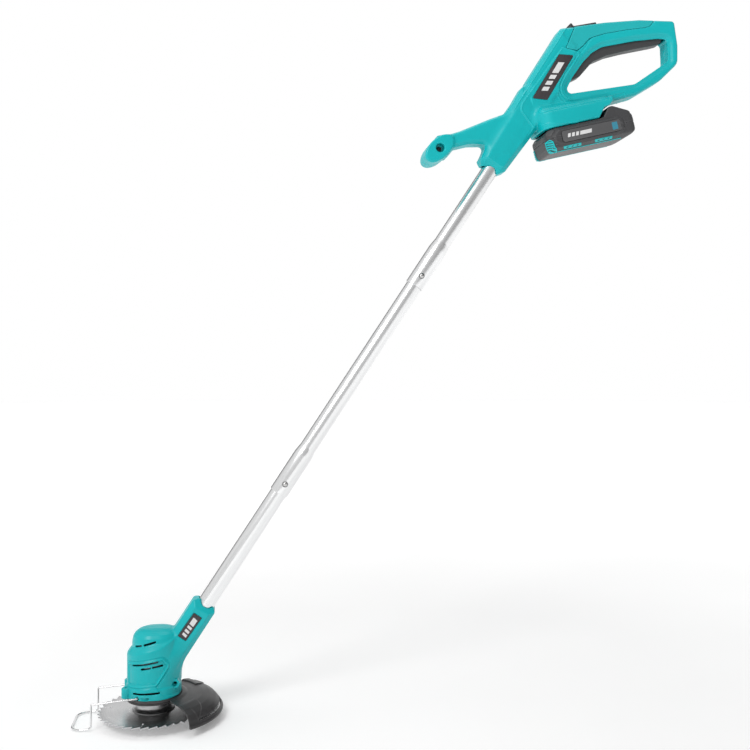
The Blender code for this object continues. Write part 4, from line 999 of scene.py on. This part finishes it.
def metal(name, rgb, rough=0.22, streak=None, spots=0.05, grain=0.12, aniso=0.0, dark=0.55, patch=0.14):
    """Bare metal: drawn or turned marks, smudges and duller patches."""
    m = Mat(name)
    vec = m.mapped(*streak) if streak else m.mapped((6.0, 6.0, 6.0))
    lines = m.noise(90.0, 4.0, 0.65, vec)
    cloud = m.noise(16.0, 5.0, 0.6)
    tone = m.ramp(lines, [(0.3, tuple(c * 0.90 for c in rgb)), (0.7, rgb)])
    tone = m.mix(m.ramp(cloud, [(0.52, 0.0), (0.78, spots * 4)]), tone, tuple(c * dark for c in rgb))
    m.link(tone, m.b.inputs["Base Color"])
    m.b.inputs["Metallic"].default_value = 1.0
    r = m.math("MULTIPLY_ADD", lines, 0.10)
    r.node.inputs[2].default_value = rough - 0.05
    m.link(m.math("ADD", r, m.ramp(cloud, [(0.35, 0.0), (0.8, patch)])), m.b.inputs["Roughness"])
    m.bump(lines, grain, 0.00004)
    if aniso:
        m.b.inputs["Anisotropic"].default_value = aniso
        tan = m.node("Tangent", direction_type="RADIAL", axis="Z")
        m.link(tan.outputs[0], m.b.inputs["Tangent"])
    return m.m


def blade_metal():
    """Ground steel: rings round the centre, darker toward the teeth, fine rust-free stains."""
    m = Mat("saw_steel")
    sep = m.node("SeparateXYZ")
    m.link(m.co, sep.inputs[0])
    r = m.math("SQRT", m.math("ADD", m.math("MULTIPLY", sep.outputs[0], sep.outputs[0]), m.math("MULTIPLY", sep.outputs[1], sep.outputs[1])), 0.0)
    comb = m.node("CombineXYZ")
    m.link(m.math("MULTIPLY", r, 30.0), comb.inputs[0])
    m.link(m.math("MULTIPLY", sep.outputs[2], 2.0), comb.inputs[2])
    rings = m.noise(60.0, 4.0, 0.7, comb.outputs[0])
    cloud = m.noise(22.0, 5.0, 0.6)
    tone = m.ramp(rings, [(0.3, (0.60, 0.60, 0.605)), (0.7, (0.76, 0.76, 0.765))])
    tone = m.mix(m.ramp(r, [(0.060, 0.0), (0.066, 0.55)]), tone, (0.42, 0.42, 0.43))
    tone = m.mix(m.ramp(cloud, [(0.55, 0.0), (0.75, 0.30)]), tone, (0.34, 0.335, 0.33))
    m.link(tone, m.b.inputs["Base Color"])
    m.b.inputs["Metallic"].default_value = 1.0
    m.link(m.ramp(rings, [(0.3, 0.24), (0.7, 0.36)]), m.b.inputs["Roughness"])
    m.bump(rings, 0.18, 0.00005)
    m.b.inputs["Anisotropic"].default_value = 0.62
    tan = m.node("Tangent", direction_type="RADIAL", axis="Z")
    m.link(tan.outputs[0], m.b.inputs["Tangent"])
    return m.m


def board_green():
    m = Mat("circuit_board")
    br = m.node("TexBrick")
    br.inputs["Scale"].default_value = 260.0
    br.inputs["Color1"].default_value = (0.01, 0.12, 0.05, 1)
    br.inputs["Color2"].default_value = (0.015, 0.16, 0.06, 1)
    br.inputs["Mortar"].default_value = (0.35, 0.30, 0.10, 1)
    m.link(m.co, br.inputs["Vector"])
    m.link(br.outputs["Color"], m.b.inputs["Base Color"])
    m.link(m.ramp(m.noise(80.0), [(0.3, 0.3), (0.7, 0.5)]), m.b.inputs["Roughness"])
    m.bump(br.outputs["Fac"], 0.3, 0.0001)
    return m.m


MARK = (0.72, 0.72, 0.72)
TEAL = (0.001, 0.445, 0.470)
M = {
    "teal": plastic("teal_satin", TEAL, 0.34, 1.35),
    # the inlay teal is set a little paler than TEAL: painted light that lifts the trim bars out of the shade on the
    # battery's lower slope
    "teal_trim": plastic("teal_inlay", (0.002, 0.47, 0.49), 0.42, 1.2),
    "cover": plastic("teal_soft_grip", (0.010, 0.42, 0.44), 0.50, 1.2, grain=0.30, scale=1300),
    "black": plastic("black_satin", (0.020, 0.020, 0.021), 0.34, 2.2, grain=0.16),
    "guard": plastic("guard_black", (0.034, 0.033, 0.034), 0.36, 2.4, grain=0.22),
    "trigger": plastic("trigger_grey", (0.052, 0.052, 0.054), 0.42, 2.0, grain=0.25),
    "battery": plastic("battery_grey", (0.060, 0.060, 0.063), 0.40, 1.9, grain=0.20),
    "label": plastic("label_grey", (0.105, 0.105, 0.108), 0.30, 1.5, grain=0.05, edge_light_shade=False),
    "badge": plastic("badge_dark", (0.030, 0.024, 0.026), 0.24, 2.5, grain=0.04),
    "rib": plastic("inner_nylon", (0.05, 0.05, 0.05), 0.5, 1.6, grain=0.2, edge_light_shade=False),
    "cable": plastic("cable_sleeve", (0.015, 0.015, 0.015), 0.55, 1.6, grain=0.3, edge_light_shade=False),
    "cell": plastic("cell_wrap", (0.02, 0.12, 0.26), 0.32, 1.4, grain=0.06, edge_light_shade=False),
    "alu": metal("bright_tube", (0.90, 0.905, 0.91), 0.22, ((0.14, 0.14, 6.0), (0, TILT, 0), "TEXTURE"), 0.01, 0.012, patch=0.04),
    "steel": metal("bright_steel", (0.62, 0.615, 0.61), 0.20, None, 0.05, 0.10),
    "flange": metal("turned_steel", (0.60, 0.60, 0.605), 0.28, ((1.0, 1.0, 14.0), (0, 0, 0), "POINT"), 0.05, 0.25, 0.6),
    "wire": metal("drawn_wire", (0.78, 0.78, 0.78), 0.18, None, 0.04, 0.08),
    "can": metal("motor_can_steel", (0.50, 0.51, 0.52), 0.30, ((1.0, 1.0, 10.0), (0, 0, 0), "POINT"), 0.05, 0.2),
    "rotor": metal("rotor_iron", (0.42, 0.30, 0.20), 0.40, ((1.0, 1.0, 30.0), (0, 0, 0), "POINT"), 0.05, 0.4),
    "screw": metal("zinc_screw", (0.55, 0.55, 0.56), 0.26, None, 0.06, 0.12),
    "mark": plastic("pale_print", MARK, 0.45, 1.1, grain=0.03, edge_light_shade=False),
    "window": plastic("charge_window", (0.05, 0.26, 0.36), 0.18, 1.2, grain=0.02, edge_light_shade=False),
    "blade": blade_metal(),
    "board": board_green(),
}


def show(ob, body, mat, *nodes, slot=None):
    ob.data.materials.clear()
    ob.data.materials.append(M[mat])
    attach(ob, body)
    if nodes:
        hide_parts(*nodes)
    return ob


# ------------------------------------------------------------------- assembly
show(handle_half(-1), "handle", "teal", "handle_near")
show(handle_half(1), "handle", "teal", "handle_far")
show(grip_cover(), "handle", "cover", "grip_cover")
show(head_half(-1), "handle", "teal", "head_near", slot="head_shell")
show(head_half(1), "handle", "teal", "head_far", slot="head_shell")
show(guard_hood(), "handle", "guard", "guard")
show(guard_ring(), "handle", "guard")
show(battery_part(False), "battery", "battery", "battery_case_lower")
show(battery_part(True), "battery", "battery", "battery_case_upper")
for side in (-1, 1):
    show(battery_trim(side), "battery", "teal_trim")
    show(battery_corner(side), "battery", "teal_trim")
show(battery_latch(), "latch", "teal_trim", "battery_latch")
show(trigger_lever(), "trigger", "trigger", "trigger")
show(lock_tab(), "lock_off", "trigger", "lock_slider")
for tag, y0, y1 in (("near", -35.85, -35.3), ("far", 35.3, 35.85)):
    show(slab("battery_plate_" + tag, corners([(x, z, 1.2) for x, z in LABEL], 20), y0, y1, PACK), "battery", "label", "battery_label_" + tag)
for tag, s in (("near", -1), ("far", 1)):
    ys = sorted((s * 16.75, s * 17.45))
    show(slab("handle_plate_" + tag, corners([(542.0, 882.1, 1.2), (562.9, 882.1, 1.2), (525.2, 819.4, 1.2), (504.2, 820.5, 1.2)], 20), *ys, bevel=0.16), "handle", "badge", "handle_badge_" + tag)
    ys = sorted((s * 16.72, s * 17.38))
    show(slab("head_plate_" + tag, corners([(-9.1, 109.8, 0.8), (-8.0, 144.5, 0.8), (4.0, 144.2, 0.8), (2.8, 109.5, 0.8)], 20), *ys, SHAFT, bevel=0.16), "handle", "badge", "head_badge_" + tag)

# plain slanted bars and a charge window in place of any printing
for tag, sg in (("near", -1), ("far", 1)):
    ys = sorted((sg * 17.38, sg * 17.50))
    for k, (t0, t1) in enumerate(((0.14, 0.24), (0.29, 0.39), (0.44, 0.54), (0.59, 0.86))):
        ax, az, bx, bz = 511.8, 823.4, 545.5, 879.2
        d0 = (ax + (bx - ax) * t0, az + (bz - az) * t0)
        d1 = (ax + (bx - ax) * t1, az + (bz - az) * t1)
        show(slab("handle_bar_%s_%d" % (tag, k + 1), corners([(d0[0], d0[1], 0.4), (d0[0] + 9.0, d0[1] + 0.2, 0.4), (d1[0] + 9.0, d1[1] + 0.2, 0.4), (d1[0], d1[1], 0.4)], 30),
                  *ys, bevel=0.0), "handle", "mark")
    ys = sorted((sg * 17.30, sg * 17.42))
    for k, (t0, t1) in enumerate(((114.0, 117.4), (119.4, 122.8), (124.8, 128.2), (130.2, 139.6))):
        lean = 0.03
        show(slab("head_bar_%s_%d" % (tag, k + 1), corners([(-6.0 + (t0 - 110) * lean, t0, 0.3), (0.4 + (t0 - 110) * lean, t0 - 1.2, 0.3), (0.4 + (t1 - 110) * lean, t1 - 1.2, 0.3),
                                                         (-6.0 + (t1 - 110) * lean, t1, 0.3)], 30), *ys, SHAFT, bevel=0.0), "handle", "mark")
    ys = sorted((sg * 35.80, sg * 35.89))
    for k, (a0, a1) in enumerate(((27, 31), (33, 37), (39, 43), (45, 62))):
        show(slab("battery_bar_%s_%d" % (tag, k + 1), corners([(a0, 20.4, 0.3), (a1, 20.4, 0.3), (a1 + 1.6, 25.4, 0.3), (a0 + 1.6, 25.4, 0.3)], 30), *ys, PACK, bevel=0.0), "battery", "mark")
    show(slab("battery_window_" + tag, corners([(93, 17.5, 0.8), (101, 17.5, 0.8), (101, 27.5, 0.8), (93, 27.5, 0.8)], 30), *ys, PACK, bevel=0.0), "battery", "window")

show(carve(tube("tube_lower", 112.0, 384.0), button_cut(344.0)), "handle", "alu", "shaft_lower")
show(carve(tube("tube_middle", 329.4, 714.0, SOCKET2), button_cut(344.0), button_cut(675.0)), "handle", "alu", "shaft_middle")
show(carve(tube("tube_upper", 659.5, 903.0, SOCKET1), button_cut(675.0)), "handle", "alu", "shaft_upper")
for tag, s in (("lower", BUTTON2), ("upper", BUTTON1)):
    at = SHAFT @ Matrix.Translation((0, 0, s * MM)) @ Matrix.Rotation(math.pi / 2, 4, "X")
    dome = [(0, 14.3), (0.8, 14.24), (1.6, 14.0), (2.2, 13.65), (2.7, 13.2), (3.1, 12.65), (3.4, 12.0), (3.5, 11.4), (3.5, 8.6), (4.4, 8.6), (4.4, 7.8), (0, 7.8)]
    show(lathe("snap_dome_" + tag, dome, at, 64), "button_" + tag, "steel", "snap_button_" + tag)

show(saw(), "spindle", "blade", "saw_blade")
show(lathe("bell_flange", [(19.6, 26.95), (20.2, 26.7), (20.45, 26.2), (20.45, 20.4), (20.6, 19.2), (21.1, 18.0), (22.0, 16.9), (23.4, 15.9), (25.0, 15.2),
                           (26.5, 14.7), (26.95, 14.3), (26.95, 14.05), (4.25, 14.02), (4.25, 26.8), (4.6, 26.95), (9.0, 26.95), (9.3, 26.6), (18.8, 26.6), (19.0, 26.9)],
           n=128), "spindle", "flange", "inner_flange")
show(lathe("clamp_washer", [(14.6, 11.98), (14.95, 11.6), (14.95, 10.5), (14.6, 10.1), (13.4, 9.15), (12.9, 9.02), (4.35, 9.02), (4.35, 11.98)], n=96),
     "spindle", "flange", "outer_flange")
bolt = lathe("blade_bolt", [(0, 6.3), (4.35, 6.3), (4.35, 8.68), (7.7, 8.68), (7.95, 8.4), (7.95, 7.2), (6.75, 6.2), (6.55, 5.9), (6.55, 0.7), (6.3, 0.2), (5.9, 0.0), (0, 0.0)], n=96)
bm = bmesh.new()
bmesh.ops.create_cone(bm, cap_ends=True, segments=6, radius1=3.0 * MM, radius2=3.0 * MM, depth=6 * MM)
hexm = bpy.data.meshes.new("hex_key")
bm.to_mesh(hexm)
bm.free()
show(finish_mesh(carve(bolt, add("hex_key", hexm))), "spindle", "screw", "arbor_bolt", slot="bright_steel")

show(lathe("guard_collar", [(34.5, 33.9), (34.75, 33.6), (34.75, 31.0), (34.4, 30.55), (31.6, 30.55), (31.6, 33.9)], n=128), "handle", "guard")
show(lathe("motor_can_body", [(26.0, 90.3), (25.9, 90.35), (24.4, 90.35), (24.4, 41.5), (6.5, 41.5), (6.5, 40.05), (25.2, 40.05), (25.9, 40.6), (26.0, 41.3), (26.0, 60.0), (25.7, 60.3),
                               (25.7, 61.7), (26.0, 62.0)], n=96), "handle", "can", "motor_can")
show(lathe("motor_cap", [(22.5, 100.9), (23.4, 99.9), (23.55, 99.5), (23.55, 90.85), (5.0, 90.85), (5.0, 100.95), (9.0, 100.95), (9.4, 100.2), (16.0, 100.2), (16.4, 100.95)], n=96),
     "handle", "black", "motor_end_cap")
show(lathe("motor_mount", [(31.15, 38.4), (31.15, 31.1), (30.9, 31.02), (6.0, 31.02), (6.0, 35.5), (9.0, 39.55), (23.9, 39.55), (24.0, 39.4), (24.0, 34.0), (29.0, 34.0), (29.0, 38.4)], n=96),
     "handle", "black", "motor_mount_plate")

px, pz, wy = -17.5, 36.5, 30.6
arm = [(px, -26.5, pz), (px, -wy, pz), (-73.8, -wy, 32.2), (-73.7, -wy, 4.0), (-78.5, -wy, 1.9), (-99.0, -wy + 4.0, 1.7), (-99.0, -10.0, 1.7)]
soft = [Vector(arm[0])] + fillet([arm[0], arm[1], arm[2]], 1.6)[1:-1] + fillet([arm[1], arm[2], arm[3]], 2.4)[1:-1] + fillet([arm[2], arm[3], arm[4]], 3.0)[1:-1] \
    + [Vector(arm[4])] + [Vector((-99.0 + 15.0 * (1 - math.sin(math.radians(t))), -wy + 15.0 * (1 - math.cos(math.radians(t))), 1.7)) for t in range(8, 91, 6)]
show(drawn("front_wire", soft + [Vector((v.x, -v.y, v.z)) for v in reversed(soft)], 1.14), "wire_guard", "wire", "wire_guard")

screws = [(497.6, 776.3), (534.2, 880.3), (709.2, 921.0), (684.0, 861.0)]
for k, (x, z) in enumerate(screws):
    show(cross_screw("case_screw_%d" % (k + 1), 23.0, 3.2, 1.6, Matrix.Translation((x * MM, -0.0100, z * MM)) @ Matrix.Rotation(-math.pi / 2, 4, "X")),
         "handle", "screw", "handle_screw_%d" % (k + 1))
# the screw sunk deep in the pommel's well gets black plastic instead of zinc: painted shade for the well
show(cross_screw("horn_screw", 22.0, 3.4, 1.7, Matrix.Translation((0.3750, 0.0113, 0.7475)) @ Matrix.Rotation(math.pi / 2, 4, "X")), "handle", "black", "pommel_screw", slot="screw")
show(cross_screw("foot_screw", 22.5, 2.8, 1.4, Matrix.Translation((0.0278, -0.0100, 0.0495)) @ Matrix.Rotation(-math.pi / 2, 4, "X")), "handle", "screw", "head_screw")

CARRIED = {"switch_body": "rib", "switch_plunger": "black", "terminal_block": "black", "control_board": "board", "trigger_pin": "steel", "trigger_spring": "steel",
           "latch_spring": "steel", "button_spring_lower": "steel", "button_spring_upper": "steel", "motor_rotor": "rotor", "cable_lower": "cable",
           "cable_middle": "cable", "cable_upper": "cable", **{"cell_%d" % k: "cell" for k in range(1, 6)}}
for name, mat in CARRIED.items():
    ob = NODES[name]
    ob.data.materials.clear()
    ob.data.materials.append(M[mat])

# ------------------------------------------------------------ floor, light, eye
def stage_material():
    m = Mat("studio_floor")
    m.link(m.ramp(m.noise(3.0, 3.0), [(0.3, (0.90, 0.90, 0.90)), (0.7, (0.93, 0.93, 0.93))]), m.b.inputs["Base Color"])
    m.b.inputs["Roughness"].default_value = 0.7
    m.b.inputs["Specular IOR Level"].default_value = 0.15
    # painted light: the floor glows, its emission rising from 0.15 near the tool to 0.52 far away, so the far floor
    # matches the white backdrop and the glow lights the tool from below
    m.b.inputs["Emission Color"].default_value = (1.0, 1.0, 1.0, 1.0)
    far = m.node("VectorMath", operation="LENGTH")
    m.link(m.co, far.inputs[0])
    m.link(m.ramp(m.math("MULTIPLY", far.outputs["Value"], 0.25), [(0.12, 0.15), (0.50, 0.52)]), m.b.inputs["Emission Strength"])
    return m.m


bm = bmesh.new()
bmesh.ops.create_circle(bm, cap_ends=True, segments=96, radius=14.0)
mesh = bpy.data.meshes.new("floor")
bm.to_mesh(mesh)
bm.free()
floor = add("floor", mesh)
floor.location = (0.3, 0, -0.0005)
floor.data.materials.append(stage_material())

world = bpy.data.worlds.new("studio")
bpy.context.scene.world = world
world.use_nodes = True
wt = world.node_tree
wt.nodes.clear()
wo = wt.nodes.new("ShaderNodeOutputWorld")
wb = wt.nodes.new("ShaderNodeBackground")
wr = wt.nodes.new("ShaderNodeValToRGB")
wc = wt.nodes.new("ShaderNodeTexCoord")
wd = wt.nodes.new("ShaderNodeVectorMath")
wd.operation = "DOT_PRODUCT"
wd.inputs[1].default_value = (0.159, 0.987, 0.0)
wm = wt.nodes.new("ShaderNodeMapRange")
wm.inputs["From Min"].default_value = -1.0
wt.links.new(wc.outputs["Generated"], wd.inputs[0])
wt.links.new(wd.outputs["Value"], wm.inputs["Value"])
wt.links.new(wm.outputs[0], wr.inputs[0])
def ramp_of(node, stops):
    e = node.color_ramp.elements
    while len(e) < len(stops):
        e.new(0.5)
    for k, (pos, v) in enumerate(stops):
        e[k].position = pos
        e[k].color = (v, v, v, 1)
    return node.outputs[0]


def across(vec):
    d = wt.nodes.new("ShaderNodeVectorMath")
    d.operation = "DOT_PRODUCT"
    d.inputs[1].default_value = vec
    r = wt.nodes.new("ShaderNodeMapRange")
    r.inputs["From Min"].default_value = -1.0
    wt.links.new(wc.outputs["Generated"], d.inputs[0])
    wt.links.new(d.outputs["Value"], r.inputs["Value"])
    return r.outputs[0]


ahead = wm.outputs[0]
shade = ramp_of(wr, ((0.0, 0.80), (0.45, 1.0), (0.74, 0.80), (0.81, 0.12), (0.89, 0.12)))
wr2 = wt.nodes.new("ShaderNodeValToRGB")
wt.links.new(across((0.987, -0.159, 0.0)), wr2.inputs[0])
sideways = ramp_of(wr2, ((0.0, 0.80), (0.36, 0.86), (0.60, 0.64), (0.80, 0.44), (1.0, 0.38)))
wr3 = wt.nodes.new("ShaderNodeValToRGB")
wt.links.new(ahead, wr3.inputs[0])
window = ramp_of(wr3, ((0.895, 0.0), (0.920, 1.0)))
mul = wt.nodes.new("ShaderNodeMix")
mul.data_type, mul.blend_type = "RGBA", "MULTIPLY"
mul.inputs[0].default_value = 1.0
wt.links.new(shade, mul.inputs[6])
wt.links.new(sideways, mul.inputs[7])
back = wt.nodes.new("ShaderNodeMix")
back.data_type = "RGBA"
wt.links.new(window, back.inputs[0])
wt.links.new(mul.outputs[2], back.inputs[6])
back.inputs[7].default_value = (1.0, 1.0, 1.0, 1)
# the backdrop itself is plain white from every side; the bright and dark panels only light the object
lp = wt.nodes.new("ShaderNodeLightPath")
seen = wt.nodes.new("ShaderNodeMix")
seen.data_type = "RGBA"
wt.links.new(lp.outputs["Is Camera Ray"], seen.inputs[0])
wt.links.new(back.outputs[2], seen.inputs[6])
seen.inputs[7].default_value = (1.0, 1.0, 1.0, 1)
wt.links.new(seen.outputs[2], wb.inputs["Color"])
wt.links.new(wb.outputs[0], wo.inputs[0])


def lamp(name, at, to, size, power, size_y=None, spread=None):
    li = bpy.data.lights.new(name, "AREA")
    li.energy = power
    li.shape = "RECTANGLE"
    li.size = size
    li.size_y = size_y or size
    if spread:
        li.spread = math.radians(spread)
    ob = bpy.data.objects.new(name, li)
    bpy.context.scene.collection.objects.link(ob)
    ob.location = at
    ob.rotation_euler = (Vector(to) - Vector(at)).to_track_quat("-Z", "Y").to_euler()
    return ob


lamp("key", (-1.0, -1.5, 2.1), (0.3, 0, 0.45), 0.9, 26)
lamp("top", (0.4, 0.5, 2.5), (0.3, 0, 0.4), 1.2, 9)

cam_data = bpy.data.cameras.new("eye")
cam_data.sensor_width = 36.0
cam_data.lens = 42.48
cam = bpy.data.objects.new("eye", cam_data)
bpy.context.scene.collection.objects.link(cam)
cam.location = (0.100, -1.174, 0.443)
cam.rotation_euler = (math.radians(90.0), 0.0, math.radians(-9.16))
bpy.context.scene.camera = cam
bpy.context.scene.view_settings.view_transform = "Standard"
bpy.context.scene.view_settings.look = "None"
